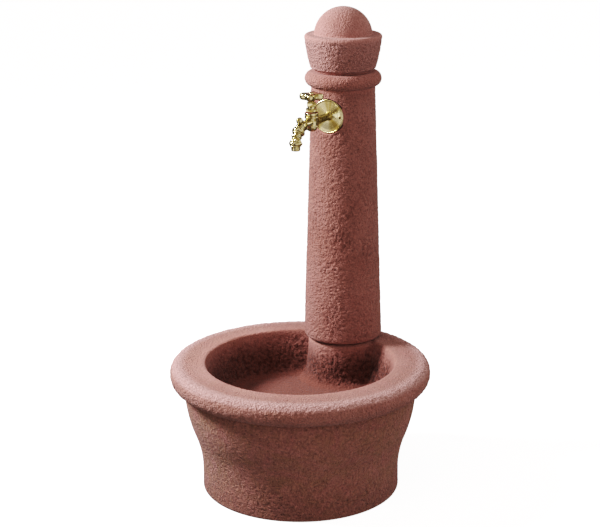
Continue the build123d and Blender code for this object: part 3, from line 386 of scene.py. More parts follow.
# Brass screw heads, never polished: brown and dull
DULL_BRASS = plain_finish("dulled_brass", "#4c3c1c", "#6b572b", 1.0, 0.45, metal=1.0, depth=0.03)
FINISHES = {
    "cast_stone": STONE,
    # Lime and cement mortar, raked: sandy and darker than the stone in its shadow joint
    "mortar": plain_finish("raked_mortar", "#3b2c27", "#5a453d", 2.0, 0.92, depth=0.6),
    # Brass as it comes from the lathe: satin and a little uneven
    "brass": plain_finish("turned_brass", "#b08d48", "#c9a75e", 1.5, 0.3, metal=1.0, depth=0.03),
    # Black EPDM rubber, moulded: matt with a dusty bloom
    "rubber": plain_finish("moulded_rubber", "#161616", "#262524", 6.0, 0.75, depth=0.05),
    # Pressed red fibre: dull with a papery grain
    "fibre": plain_finish("pressed_fibre", "#5e241c", "#7b3429", 1.2, 0.85, depth=0.08),
    # Stainless steel, brushed along its length
    "steel": plain_finish("brushed_stainless", "#8d8d8b", "#b3b3b0", 1.2, 0.32, metal=1.0, depth=0.02,
                          stretch=(1.0, 1.0, 0.08)),
}


def new_tree(name, inputs):
    """An empty geometry tree and its inputs: a mesh, those named with their kind, and a material."""
    tree = bpy.data.node_groups.new(name, "GeometryNodeTree")
    for title, kind in {"Geometry": "Geometry", **inputs, "Material": "Material"}.items():
        tree.interface.new_socket(title, in_out="INPUT", socket_type="NodeSocket" + kind)
    tree.interface.new_socket("Geometry", in_out="OUTPUT", socket_type="NodeSocketGeometry")
    return tree, tree.nodes.new("NodeGroupInput").outputs


def end_tree(tree, geometry, material):
    """Ends a geometry tree: one plain mesh with its material."""
    plain = add(tree, "GeometryNodeRealizeInstances", {"Geometry": geometry}).outputs[0]
    faced = add(tree, "GeometryNodeSetMaterial", {"Geometry": plain, "Material": material}).outputs[0]
    add(tree, "NodeGroupOutput", {"Geometry": faced})
    return tree


def relief_tree():
    """Hammered stone: lumps, dragged streaks and fine grain, sunk into the surface along its normal.
    The mesh carries how much of each it takes in its vector attribute named weights."""
    spans = ("Lump Size", "Lump Stretch", "Streak Width", "Streak Stretch", "Grain Size", "Patch Size")
    tree, given = new_tree("hammered_relief", {
        **dict.fromkeys(spans + ("Lump Round", "Streak Twist", "Patch Share"), "Float"),
        "Depths": "Vector", "Axis Place": "Vector"})
    place = add(tree, "GeometryNodeInputPosition").outputs[0]
    height = add(tree, "ShaderNodeSeparateXYZ", {0: place}).outputs["Z"]

    lump_scale, squeeze, streak_scale, drag, grain_scale, patch_scale = (
        add(tree, "ShaderNodeMath", {0: 1.0, 1: given[name]}, operation="DIVIDE").outputs[0]
        for name in spans)

    squeeze = add(tree, "ShaderNodeCombineXYZ", {"X": 1.0, "Y": 1.0, "Z": squeeze}).outputs[0]
    drawn = add(tree, "ShaderNodeVectorMath", {0: place, 1: squeeze}, operation="MULTIPLY").outputs[0]
    gouge = add(tree, "ShaderNodeTexNoise", {"Vector": drawn, "Scale": lump_scale, "Detail": 2.0,
                                             "Roughness": 0.6, "Distortion": 0.6}).outputs[0]
    gouge = add(tree, "ShaderNodeMapRange", {"Value": gouge, "From Min": 0.3, "From Max": 0.66},
                interpolation_type="SMOOTHSTEP").outputs[0]
    cell = add(tree, "ShaderNodeTexVoronoi", {"Vector": drawn, "Scale": lump_scale, "Smoothness": 0.3,
                                              "Randomness": 1.0}, feature="SMOOTH_F1").outputs["Distance"]
    pebble = add(tree, "ShaderNodeMapRange", {"Value": cell, "From Min": 0.75, "From Max": 0.1}).outputs[0]
    lump = add(tree, "ShaderNodeMix", {0: given["Lump Round"], 2: gouge, 3: pebble}).outputs[0]

    turn = add(tree, "ShaderNodeMath", {0: height, 1: given["Streak Twist"]}, operation="MULTIPLY").outputs[0]
    wound = add(tree, "ShaderNodeVectorRotate", {"Vector": place, "Center": given["Axis Place"],
                                                 "Angle": turn}, rotation_type="Z_AXIS").outputs[0]
    drag = add(tree, "ShaderNodeCombineXYZ", {"X": 1.0, "Y": 1.0, "Z": drag}).outputs[0]
    wound = add(tree, "ShaderNodeVectorMath", {0: wound, 1: drag}, operation="MULTIPLY").outputs[0]
    streak = add(tree, "ShaderNodeTexNoise", {"Vector": wound, "Scale": streak_scale, "Detail": 3.0,
                                              "Roughness": 0.6, "Distortion": 0.4}).outputs[0]
    streak = add(tree, "ShaderNodeMapRange", {"Value": streak, "From Min": 0.28, "From Max": 0.62},
                 interpolation_type="SMOOTHSTEP").outputs[0]

    grain = add(tree, "ShaderNodeTexNoise", {"Vector": place, "Scale": grain_scale, "Detail": 2.0}).outputs[0]
    grain = add(tree, "ShaderNodeMapRange", {"Value": grain, "From Min": 0.34, "From Max": 0.66}).outputs[0]

    # Lumps give way to streaks from patch to patch
    patch = add(tree, "ShaderNodeTexNoise", {"Vector": place, "Scale": patch_scale, "Detail": 1.0}).outputs[0]
    patch = add(tree, "ShaderNodeMapRange", {"Value": patch, "From Min": 0.38, "From Max": 0.62}).outputs[0]
    less = add(tree, "ShaderNodeMath", {0: patch, 1: given["Patch Share"]}, operation="MULTIPLY").outputs[0]
    more = add(tree, "ShaderNodeMath", {0: given["Patch Share"], 1: less}, operation="SUBTRACT").outputs[0]
    less = add(tree, "ShaderNodeMath", {0: 1.0, 1: less}, operation="SUBTRACT").outputs[0]
    more = add(tree, "ShaderNodeMath", {0: 1.0, 1: more}, operation="SUBTRACT").outputs[0]
    patches = add(tree, "ShaderNodeCombineXYZ", {"X": less, "Y": more, "Z": 1.0}).outputs[0]

    patterns = add(tree, "ShaderNodeCombineXYZ", {"X": lump, "Y": streak, "Z": grain}).outputs[0]
    weights = add(tree, "GeometryNodeInputNamedAttribute", {"Name": "weights"},
                  data_type="FLOAT_VECTOR").outputs[0]
    weights = add(tree, "ShaderNodeVectorMath", {0: weights, 1: patches}, operation="MULTIPLY").outputs[0]
    hollow = add(tree, "ShaderNodeVectorMath", {0: (1.0, 1.0, 1.0), 1: patterns},
                 operation="SUBTRACT").outputs[0]
    hollow = add(tree, "ShaderNodeVectorMath", {0: hollow, 1: weights}, operation="MULTIPLY").outputs[0]
    depth = add(tree, "ShaderNodeVectorMath", {0: hollow, 1: given["Depths"]},
                operation="DOT_PRODUCT").outputs["Value"]
    sunk = add(tree, "ShaderNodeMath", {0: depth, 1: -1.0}, operation="MULTIPLY").outputs[0]
    normal = add(tree, "GeometryNodeInputNormal").outputs[0]
    offset = add(tree, "ShaderNodeVectorMath", {0: normal, "Scale": sunk}, operation="SCALE").outputs[0]
    fill = add(tree, "ShaderNodeVectorMath", {0: hollow, 1: (0.8, 0.6, 0.3)},
               operation="DOT_PRODUCT").outputs["Value"]
    proud = add(tree, "ShaderNodeMath", {0: 1.0, 1: fill}, operation="SUBTRACT", use_clamp=True).outputs[0]

    marked = add(tree, "GeometryNodeStoreNamedAttribute", {"Geometry": given["Geometry"], "Name": "relief",
                                                           "Value": proud}, data_type="FLOAT", domain="POINT")
    moved = add(tree, "GeometryNodeSetPosition", {"Geometry": marked.outputs[0], "Offset": offset})
    return end_tree(tree, moved.outputs[0], given["Material"])


def screws_tree():
    """One screw head set twice, left and right of the rosette's middle."""
    tree, given = new_tree("fixing_screws", {"First": "Vector", "Step": "Vector", "Count": "Int"})
    row = add(tree, "GeometryNodeMeshLine", {"Count": given["Count"], "Start Location": given["First"],
                                             "Offset": given["Step"]}).outputs[0]
    heads = add(tree, "GeometryNodeInstanceOnPoints", {"Points": row,
                                                       "Instance": given["Geometry"]}).outputs[0]
    return end_tree(tree, heads, given["Material"])


RELIEF = relief_tree()
SCREWS = screws_tree()


def settle(piece):
    """Turns the piece's modifiers into its plain mesh."""
    bpy.context.view_layer.update()
    graph = bpy.context.evaluated_depsgraph_get()
    mesh = bpy.data.meshes.new_from_object(piece.evaluated_get(graph))
    piece.modifiers.clear()
    piece.data = mesh


def smooth(low, high, values):
    """A soft step from 0 at one value to 1 at another."""
    share = np.clip((values - low) / (high - low), 0.0, 1.0)
    return share * share * (3.0 - 2.0 * share)


def planted(name, shape):
    """A new object in the scene from a bmesh, which is freed."""
    mesh = bpy.data.meshes.new(name)
    shape.to_mesh(mesh)
    shape.free()
    piece = bpy.data.objects.new(name, mesh)
    bpy.context.scene.collection.objects.link(piece)
    return piece


def copied(name, node):
    """A plain copy of a node's solid, its double points merged."""
    shape = bmesh.new()
    shape.from_mesh(NODES[node].data)
    bmesh.ops.remove_doubles(shape, verts=shape.verts, dist=0.001 * MM)
    return planted(name, shape)


def combine(piece, other, operation, overlapping=False):
    """Unites another object with the piece, or takes it away, and removes the other.
    A piece of overlapping shells becomes one skin in the same step."""
    step = piece.modifiers.new("combine", "BOOLEAN")
    step.operation, step.solver, step.object = operation, "EXACT", other
    step.use_self = overlapping
    settle(piece)
    bpy.data.objects.remove(other)


def mend(piece):
    """Closes the hair cracks that a cut can leave."""
    shape = bmesh.new()
    shape.from_mesh(piece.data)
    bmesh.ops.remove_doubles(shape, verts=shape.verts, dist=0.01 * MM)
    bmesh.ops.dissolve_degenerate(shape, edges=shape.edges, dist=0.005 * MM)
    shape.to_mesh(piece.data)
    shape.free()


def divide(piece, size):
    """Gives the piece an even mesh of small faces."""
    step = piece.modifiers.new("even_mesh", "REMESH")
    step.mode, step.voxel_size = "VOXEL", size
    settle(piece)


def points_of(piece):
    """The x, y and z of a piece's points."""
    points = np.empty(len(piece.data.vertices) * 3)
    piece.data.vertices.foreach_get("co", points)
    return points.reshape(-1, 3).T


def thin(piece, unseen):
    """Leaves only a few faces where a piece is never seen."""
    chosen = np.flatnonzero(unseen(*points_of(piece)))
    piece.vertex_groups.new(name="unseen").add(chosen.tolist(), 1.0, "REPLACE")
    step = piece.modifiers.new("fewer_faces", "DECIMATE")
    step.ratio = 1.0 - THINNED * len(chosen) / len(piece.data.vertices)
    step.vertex_group = "unseen"
    settle(piece)
    piece.vertex_groups.clear()


def enlist(piece, body, slot, *nodes):
    """Ties a finished piece to its body and hides the nodes it stands in for; the finish it is given is not
    used.
    """
    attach(piece, body)
    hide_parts(*nodes)


def under_bowl(x, y, z):
    """Where the bowl meets the inside of the wall: on its flat bottom and on the slant of the seam."""
    slope = (NECK[0] - SEAM[0]) / (NECK[1] - SEAM[1])
    slant = SEAM[0] * MM + (z - SEAM[1] * MM) * slope
    on_slant = (np.abs(np.hypot(x, y) - slant) < 4 * MM) & (z < RIM_UNDER - 0.006)
    return on_slant | (z < SEAM[1] * MM + 0.003)


def bowl_zones(x, y, z):
    """For each point of the bowl: how much lump, streak and grain it takes, how far it is paled with
    dusty wear and painted highlight, darkened with painted shade and stained with earth."""
    reach = np.hypot(x, y)
    from_boss = np.hypot(x, y - COLUMN_Y)
    inside = smooth(BOWL_MOUTH + 0.001, BOWL_MOUTH - 0.003, reach)
    inside *= smooth(BOWL_FLOOR - 0.012, BOWL_FLOOR - 0.004, z)
    below_mouth = smooth(RIM_TOP - 0.005, RIM_TOP - 0.018, z)
    off_floor = smooth(BOWL_FLOOR + 0.001, BOWL_FLOOR + 0.012, z)
    lumps = inside * below_mouth * (0.3 + 0.7 * off_floor)
    # Painted shade: darker the further down into the bowl
    deep_shade = inside * smooth(RIM_TOP - 0.006, RIM_TOP - 0.05, z)
    rim = smooth(RIM_UNDER - 0.003, RIM_UNDER + 0.003, z) * (1.0 - inside * below_mouth)
    on_boss = smooth(BED_RADIUS + 0.004, BED_RADIUS, from_boss) * smooth(RIM_TOP - 0.003, RIM_TOP - 0.001, z)
    ledge = 0.35 + 0.65 * smooth(BOWL_MOUTH, BOWL_MOUTH + 0.03, reach)
    grain = rim * ledge + 0.3 * inside * below_mouth
    weights = np.column_stack((lumps, np.zeros_like(lumps), grain)) * (1.0 - on_boss)[:, None]
    # The rim's crest is paled along its top outer edge: dusty wear and a painted highlight
    crest_dust_and_highlight = smooth(*RIM_CREST, reach) * smooth(RIM_TOP - 0.014, RIM_TOP - 0.005, z)
    tints = np.column_stack((rim * (0.08 + 0.62 * crest_dust_and_highlight), deep_shade, 0.35 * rim * (1.0 - crest_dust_and_highlight)))
    return weights, tints


def wall_zones(x, y, z):
    """The same for the basin's outer wall: brushed on the slant, pitted, plain on its sole and inside."""
    outer = smooth(*WALL_SKIN, np.hypot(x, y)) * smooth(0.0005, 0.004, z)
    foot = smooth(FOOT_SHADE, 0.0, z)
    weights = np.column_stack((0.4 * outer, outer, 0.35 * outer))
    # Tints of the wall: a little pale dusty wear and painted highlight, painted shade darkening towards the
    # foot, and earth
    tints = np.column_stack((0.05 * outer, 0.5 * foot * outer, outer))
    return weights, tints


def column_zones(x, y, z):
    """The same for the column: hammered shaft, finer ring, flat seat behind the rosette."""
    around = np.hypot(x, y - COLUMN_Y)
    outer = smooth(*COLUMN_SKIN, around)
    above_foot = smooth(COLUMN_FOOT + 0.001, COLUMN_FOOT + 0.010, z)
    below_top = smooth(COLUMN_TOP - 0.0005, COLUMN_TOP - 0.003, z)
    seat = smooth(RECESS_RADIUS + 0.003, RECESS_RADIUS, np.hypot(x, z - TAP_HEIGHT)) * (y < COLUMN_Y)
    shaft = outer * smooth(RING_LOW + 0.001, RING_LOW - 0.010, z) * above_foot * (1.0 - seat)
    ring = outer * smooth(RING_LOW - 0.004, RING_LOW + 0.003, z) * below_top
    weights = np.column_stack((shaft, shaft, 0.9 * ring + 0.3 * shaft))
    # Tints of the shaft: a little pale dusty wear and painted highlight, a little painted shade and earth
    tints = np.column_stack((0.02 * shaft, 0.16 * shaft, 0.12 * shaft))
    return weights, tints


def cap_zones(x, y, z):
    """The same for the cap: hammered collar, sanded dome and ledge."""
    collar = smooth(COLUMN_TOP + 0.001, COLUMN_TOP + 0.008, z) * smooth(CAP_BAND + 0.001, CAP_BAND - 0.007, z)
    dome = smooth(CAP_BAND - 0.007, CAP_BAND + 0.001, z)
    weights = np.column_stack((collar, 0.6 * collar, 0.8 * collar + 0.4 * dome))
    # Pale dusty wear on collar and dome, partly a painted highlight
    tints = np.column_stack((0.3 * collar + 0.2 * dome, np.zeros_like(dome), np.zeros_like(dome)))
    return weights, tints


def grow(piece, tree, sizes):
    """Works a node tree into a piece with the tree's inputs set by name."""
    step = piece.modifiers.new(tree.name, "NODES")
    step.node_group = tree
    for item in tree.interface.items_tree:
        if item.in_out == "INPUT" and item.name in sizes:
            step[item.identifier] = sizes[item.name]
    settle(piece)


def hammer(piece, zones, sizes):
    """Works the hammered surface into a finely divided piece."""
    for name, values in zip(("weights", "tints"), zones(*points_of(piece))):
        piece.data.attributes.new(name, "FLOAT_VECTOR", "POINT").data.foreach_set("vector", values.ravel())
    grow(piece, RELIEF, {**sizes, "Material": STONE})
    piece.data.polygons.foreach_set("use_smooth", np.ones(len(piece.data.polygons), bool))


def loft(loops):
    """Points and faces between loops of points; a loop of one point closes an end."""
    points, faces, starts = [], [], []
    for loop in loops:
        starts.append(len(points))
        points.extend(loop)
    for k in range(len(loops) - 1):
        low, high = loops[k], loops[k + 1]
        count = max(len(low), len(high))
        for i in range(count):
            j = (i + 1) % count
            if len(low) == 1:
                faces.append((starts[k], starts[k + 1] + j, starts[k + 1] + i))
            elif len(high) == 1:
                faces.append((starts[k] + i, starts[k] + j, starts[k + 1]))
            else:
                faces.append((starts[k] + i, starts[k] + j, starts[k + 1] + j, starts[k + 1] + i))
    return points, faces


def circle(radius, height, count=64):
    """A level loop about Z, or one point where the radius is zero."""
    if radius == 0:
        return [Vector((0, 0, height))]
    turns = [math.tau * i / count for i in range(count)]
    return [Vector((radius * math.cos(turn), radius * math.sin(turn), height)) for turn in turns]


def bar(length, width, low, high):
    """A straight bar about Z, closed at both ends."""
    corners = [(-length / 2, -width / 2), (length / 2, -width / 2)]
    corners += [(length / 2, width / 2), (-length / 2, width / 2)]
    loops = [[(0, 0, low)]] + [[(x, y, z) for x, y in corners] for z in (low, high)] + [[(0, 0, high)]]
    return loft(loops)


def turned(outline, count=64):
    """A body turned about Z from an outline of radius and height."""
    return loft([circle(radius, height, count) for radius, height in outline])


def arc(centre, radius, start, stop, steps=8):
    """Points of an outline on an arc, from one angle to another in degrees."""
    angles = [math.radians(start + (stop - start) * i / steps) for i in range(steps + 1)]
    return [(centre[0] + radius * math.cos(a), centre[1] + radius * math.sin(a)) for a in angles]


def spout_frame(run):
    """Centre and upward direction of the spout at a length along it."""
    angle = min(max(run - SPOUT_RUN, 0.0) / BEND, math.pi / 2)
    level = min(run, SPOUT_RUN)
    down = max(run - SPOUT_RUN - BEND * math.pi / 2, 0.0)
    centre = Vector((0, -level - BEND * math.sin(angle), BEND * (math.cos(angle) - 1) - down))
    return centre, Vector((0, -math.sin(angle), math.cos(angle)))


def spout_radius(run):
    """The spout's radius: full behind its first ringed collar, waisted between the two."""
    first, second = (SPOUT_RUN + BEND * math.radians(angle) for angle in COLLAR_ANGLES)
    for middle in (first, second):
        off = abs(run - middle)
        if off < COLLAR_HALF:
            return COLLAR_FOOT + (COLLAR - COLLAR_FOOT) * math.sqrt(1 - (off / COLLAR_HALF) ** 2)
        if off < COLLAR_HALF + SIDE_RING:
            half = SIDE_RING / 2
            return COLLAR_FOOT + half * math.sqrt(max(0.0, 1 - ((off - COLLAR_HALF - half) / half) ** 2))
    if SPOUT_RUN < run < first:
        return SPOUT + SPOUT_SWELL * math.sin(math.pi * (run - SPOUT_RUN) / (first - SPOUT_RUN)) ** 2
    return SPOUT


def scaled_loop(run, radius, count=56):
    """A loop round the spout. From the bend's start to the second collar it carries rows of cast leaf
    scales, each row set between the leaves of the last."""
    centre, up = spout_frame(run)
    across = Vector((1, 0, 0))
    start = SPOUT_RUN + SCALE_START
    stop = SPOUT_RUN + BEND * math.radians(COLLAR_ANGLES[1]) - COLLAR_HALF - SIDE_RING
    plain = radius >= COLLAR_FOOT or not start < run < stop
    row, along = divmod((run - start) / SCALE_ROW, 1.0)
    swell = math.sin(math.pi * min(1.0, along * LEAF_SWELL + 0.05))
    loop = []
    for i in range(count):
        turn = math.tau * i / count
        leaf = abs(math.cos(SCALE_COUNT * turn / 2 + row * math.pi / 2))
        rise = 0.0 if plain else SCALE_DEPTH * max(0.0, leaf - LEAF_TAPER * along) * swell
        loop.append(centre + (math.cos(turn) * up + math.sin(turn) * across) * float(radius + rise))
    return loop


def spout_shell():
    """Spout from the barrel to the rounded outlet and a little way up its bore."""
    length = SPOUT_RUN + BEND * math.pi / 2 + NOZZLE
    runs = [0.0, SPOUT_RUN / 2] + list(np.arange(SPOUT_RUN, length - SPOUT_LIP, SPOUT_STEP))
    stations = [(run, spout_radius(run)) for run in runs]
    lip = arc((SPOUT - SPOUT_LIP, length - SPOUT_LIP), SPOUT_LIP, 0, 90, 5)
    stations += [(run, radius) for radius, run in lip]
    stations += [(length, WATERWAY + WATERWAY_EDGE), (length - WATERWAY_EDGE, WATERWAY)]
    stations += [(length - WATERWAY_DEPTH, WATERWAY), (length - WATERWAY_DEPTH, 0.0)]
    loops = [[spout_frame(0.0)[0]]]
    for run, radius in stations:
        loops.append(scaled_loop(run, radius) if radius else [spout_frame(run)[0]])
    return loft(loops)


def knob_shell():
    """Ball on a short neck on top of the spout's bend."""
    points, faces = turned(KNOB_NECK + arc((0, 0), KNOB, -56, 90, 14)[:-1] + [(0, KNOB)], 40)
    swing = math.radians(KNOB_ANGLE)
    reach = BEND + KNOB_STAND
    centre = Vector((0, -SPOUT_RUN - reach * math.sin(swing), reach * math.cos(swing) - BEND))
    lean = Matrix.Rotation(swing, 4, "X")
    return [lean @ point + centre for point in points], faces


def barrel_shell():
    """Barrel with its rounded bottom, two beads and the collar under the bonnet."""
    outline = [(0, BARREL_LOW)]
    drop = BEADS[0] - BARREL_LOW
    for lean in np.linspace(0.15, math.pi / 2, 10):
        outline.append((BARREL * math.sin(lean), BEADS[0] - drop * math.cos(lean)))
    for low in BEADS:
        for lean in np.linspace(0, math.pi, 9):
            outline.append((BARREL + BEAD * math.sin(lean), low + BEAD_HALF * (1 - math.cos(lean))))
    return turned(outline + BARREL_COLLAR, 72)


def stem_shell():
    """Waisted stem from the barrel back to its flange on the rosette."""
    points, faces = turned(STEM, 56)
    back = Matrix.Rotation(-math.pi / 2, 4, "X")
    return [back @ point for point in points], faces


def hexagon(across, low, high):
    """Hexagon with the rounded-off corners of a turned nut."""
    corner = across / 2 / math.cos(math.pi / 6)
    bevel = corner - across / 2
    end = across / 2 * HEXAGON_END
    outline = [(0, low), (end, low), (corner, low + bevel), (corner, high - bevel), (end, high), (0, high)]
    return turned(outline, 6)


def lobed(height, inset, count=96):
    """One loop of the handle's four-lobed outline, drawn in by an inset."""
    loop = []
    for i in range(count):
        turn = math.tau * i / count
        lobe = math.cos(HANDLE_LOBES / 2 * (turn - math.radians(HANDLE_ANGLE))) ** 2
        radius = HANDLE_HUB + (HANDLE_SPAN / 2 - HANDLE_HUB) * lobe - inset
        loop.append(Vector((radius * math.cos(turn), radius * math.sin(turn), height)))
    return loop


def handle_shell():
    """Four-lobed handle, full and rounded all round, on its conical skirt."""
    middle, half = (HANDLE_DISC + HANDLE_TOP) / 2, (HANDLE_TOP - HANDLE_DISC) / 2
    loops = [circle(radius, height, 96) for radius, height in HANDLE_SKIRT]
    full = math.sin(math.radians(HANDLE_EDGE))
    for angle in np.linspace(-HANDLE_EDGE, HANDLE_EDGE, 17):
        lean = math.radians(angle)
        loops.append(lobed(middle + half * math.sin(lean) / full, half * HANDLE_TUCK * (1 - math.cos(lean))))
    return loft(loops + [circle(radius, HANDLE_TOP, 96) for radius in (HANDLE_CROWN, 0)])


def rosette_shell():
    """Dished rosette with its rolled lip."""
    lip = arc(ROSETTE_LIP, ROSETTE_LIP_RADIUS, -30, 150, 10)
    return turned(ROSETTE_BACK + lip + ROSETTE_FACE, 96)


def made(name, shells, place):
    """An object from closed shells in millimetres, set in its place."""
    shape = bmesh.new()
    for points, faces in shells:
        corners = [shape.verts.new(place @ (Vector(point) * MM)) for point in points]
        for face in faces:
            shape.faces.new([corners[i] for i in face])
    bmesh.ops.remove_doubles(shape, verts=shape.verts, dist=0.002 * MM)
    bmesh.ops.recalc_face_normals(shape, faces=shape.faces)
    return planted(name, shape)


def brass_piece(name, shells, place, body, nodes, sharp=35.0, finish=BRASS, room=None):
    """One brass piece, smooth up to an angle of edge, with room inside for what moves there."""
    piece = made(name, shells, place)
    if room:
        combine(piece, made("room", [room], place), "DIFFERENCE", overlapping=True)
        mend(piece)
    piece.data.polygons.foreach_set("use_smooth", np.ones(len(piece.data.polygons), bool))
    piece.data.set_sharp_from_angle(angle=math.radians(sharp))
    piece.data.materials.append(finish)
    enlist(piece, body, "brass", *nodes)


def resample(outline, step):
    """The outline with points added so that none lie further apart than a step."""
    points = [outline[0]]
    for (r0, z0), (r1, z1) in zip(outline, outline[1:]):
        count = max(1, math.ceil(math.hypot(r1 - r0, z1 - z0) / step))
        points += [(r0 + (r1 - r0) * i / count, z0 + (z1 - z0) * i / count) for i in range(1, count + 1)]
    return points


def column_shell():
    """Column with a fine even face for the hammering and a plain bore."""
    lean = math.atan2(SHAFT_FOOT - SHAFT_NECK, RING_START)
    tangent = FOOT_ROUNDING * math.tan((math.pi / 2 - lean) / 2)
    middle = (SHAFT_FOOT - tangent, FOOT_ROUNDING)
    half = (COLUMN_HEIGHT - RING_START) / 2
    swell = (half * half + RING_SWELL * RING_SWELL) / (2 * RING_SWELL)
    reach = math.degrees(math.asin(half / swell))
    face = arc(middle, FOOT_ROUNDING, -90, math.degrees(lean), 8)
    face += arc((SHAFT_NECK + RING_SWELL - swell, RING_START + half), swell, -reach, reach, 20)
    face = resample(face, COLUMN_GRID)
    bore = [(SHAFT_NECK, COLUMN_HEIGHT), (BORE_TOP, COLUMN_HEIGHT), (BORE_FOOT, 0.0), face[0]]
    count = round(math.tau * (SHAFT_FOOT + SHAFT_NECK) / 2 / COLUMN_GRID)
    return turned(face + resample(bore, COLUMN_PLAIN_GRID)[1:], count)


def bend(start, stop, steps=24):
    """An arc of an outline that leaves its start straight up or down and ends at another point."""
    across, rise = stop[0] - start[0], stop[1] - start[1]
    radius = (across * across + rise * rise) / (2 * across)
    turn = math.degrees(math.asin(rise / radius))
    return arc((start[0] + radius, start[1]), -radius, 0, -turn, steps)


def wall_shell():
    """The basin's outer wall from its sole to the neck under the rim, with the plain hollow inside it."""
    sole = arc((FOOT_FACE - FOOT_EDGE, FOOT_EDGE), FOOT_EDGE, -90, 0, 6)
    foot = bend(WAIST, (FOOT_FACE, FOOT_EDGE))[::-1]
    face = sole + foot[1:] + bend(WAIST, WALL_TURN)[1:] + bend(NECK, WALL_TURN)[::-1][1:]
    face = resample(face, WALL_GRID)
    inside = resample([NECK] + WALL_INSIDE + [face[0]], WALL_PLAIN_GRID)
    return turned(face + inside[1:], round(math.tau * WALL_TURN[0] / WALL_GRID))


wall = made("basin_wall_stone", [wall_shell()], Matrix())
hammer(wall, wall_zones, {
    "Lump Size": 6.5 * MM, "Lump Stretch": 0.8, "Lump Round": 0.2, "Streak Width": 7.0 * MM,
    "Streak Stretch": 0.3, "Streak Twist": 5.0, "Grain Size": 4.5 * MM, "Patch Size": 70 * MM,
    "Patch Share": 0.8, "Depths": (1.7 * MM, 1.5 * MM, 0.6 * MM), "Axis Place": (0.0, 0.0, 0.0)})
enlist(wall, "fountain", "cast_stone", "basin_foot")

bowl = copied("basin_bowl_stone", "basin")
combine(bowl, copied("foot_copy", "basin_foot"), "UNION")
combine(bowl, made("below_seam", [turned(BELOW_SEAM)], Matrix()), "DIFFERENCE")
divide(bowl, BOWL_GRID * MM)
thin(bowl, under_bowl)
hammer(bowl, bowl_zones, {
    "Lump Size": 8.0 * MM, "Lump Stretch": 0.8, "Lump Round": 0.7, "Streak Width": 9.0 * MM,
    "Streak Stretch": 0.6, "Streak Twist": 0.0, "Grain Size": 6.0 * MM, "Patch Size": 80 * MM,
    "Patch Share": 0.2, "Depths": (2.6 * MM, 0.8 * MM, 1.7 * MM), "Axis Place": (0.0, 0.0, 0.0)})
enlist(bowl, "fountain", "cast_stone", "basin")

SHAFT = Matrix.Translation((0.0, COLUMN_Y, COLUMN_FOOT))
FORWARD = Matrix.Rotation(math.pi / 2, 4, "X")
AT_TAP = Matrix.Translation((0.0, COLUMN_Y, TAP_HEIGHT)) @ FORWARD
column = made("column_stone", [column_shell()], SHAFT)
combine(column, made("tap_hole", [turned(TAP_HOLE, 96)], AT_TAP), "DIFFERENCE")
hammer(column, column_zones, {
    "Lump Size": 5.4 * MM, "Lump Stretch": 1.5, "Lump Round": 0.25, "Streak Width": 8.0 * MM,
    "Streak Stretch": 0.36, "Streak Twist": 0.0, "Grain Size": 4.0 * MM, "Patch Size": 80 * MM,
    "Patch Share": 0.95, "Depths": (2.5 * MM, 2.0 * MM, 0.9 * MM), "Axis Place": (0.0, COLUMN_Y, 0.0)})
enlist(column, "fountain", "cast_stone", "column")

cap = copied("cap_stone", "cap")
groove = turned(CAP_GROOVE + CAP_GROOVE[:1], 96)
CAP_FOOT = Matrix.Translation((0.0, COLUMN_Y, COLUMN_TOP))
combine(cap, made("cap_groove", [groove], CAP_FOOT), "DIFFERENCE")
divide(cap, CAP_GRID * MM)
hammer(cap, cap_zones, {
    "Lump Size": 5.0 * MM, "Lump Stretch": 1.0, "Lump Round": 0.4, "Streak Width": 8.0 * MM,
    "Streak Stretch": 0.5, "Streak Twist": 0.0, "Grain Size": 4.0 * MM, "Patch Size": 50 * MM,
    "Patch Share": 0.6, "Depths": (1.9 * MM, 1.3 * MM, 0.5 * MM), "Axis Place": (0.0, COLUMN_Y, 0.0)})
enlist(cap, "cap", "cast_stone", "cap")

VALVE = Matrix.Translation((0.0, VALVE_Y, TAP_HEIGHT))
SEAT = Matrix.Translation((0.0, SEAT_Y, TAP_HEIGHT)) @ FORWARD
brass_piece("tap_body_brass", [barrel_shell(), stem_shell(), spout_shell(), knob_shell()], VALVE,
            "fountain", ["tap_body"], room=turned(VALVE_ROOM))
brass_piece("tap_rosette_brass", [rosette_shell()], SEAT, "fountain", ["tap_rosette"], 50.0, SPUN_BRASS)
brass_piece("tap_bonnet_brass", [hexagon(*BONNET_HEXAGON), turned(BONNET_NECK)], VALVE, "fountain",
            ["tap_bonnet"], room=turned(SPINDLE_ROOM))
brass_piece("gland_nut_brass", [hexagon(*GLAND_HEXAGON), turned(GLAND_TOP)], VALVE, "fountain",
            ["gland_nut"], room=turned(GLAND_ROOM))
brass_piece("tap_handle_brass", [handle_shell()], VALVE, "handle", ["tap_handle"], 50.0)
screw_shell = turned([(radius, HANDLE_TOP + z) for radius, z in SCREW_HEAD])
brass_piece("handle_screw_brass", [screw_shell], VALVE, "handle", ["handle_screw"], 50.0)

# The rosette's screws are trim: they replace no node
screws = made("rosette_screws_brass", [turned(FIXING_HEAD, 32)], SEAT)
combine(screws, made("slot_cut", [bar(*FIXING_SLOT)], SEAT), "DIFFERENCE")
grow(screws, SCREWS, {"First": (-FIXING_REACH * MM, 0.0, 0.0), "Step": (2 * FIXING_REACH * MM, 0.0, 0.0),
                      "Count": 2, "Material": DULL_BRASS})
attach(screws, "fountain")

SLOTS = {part["node"]: part["material_slot"] for part in frame["record"]["subparts"]}
for node, piece in NODES.items():
    for holder in piece.material_slots:
        holder.material = FINISHES[SLOTS[node]]


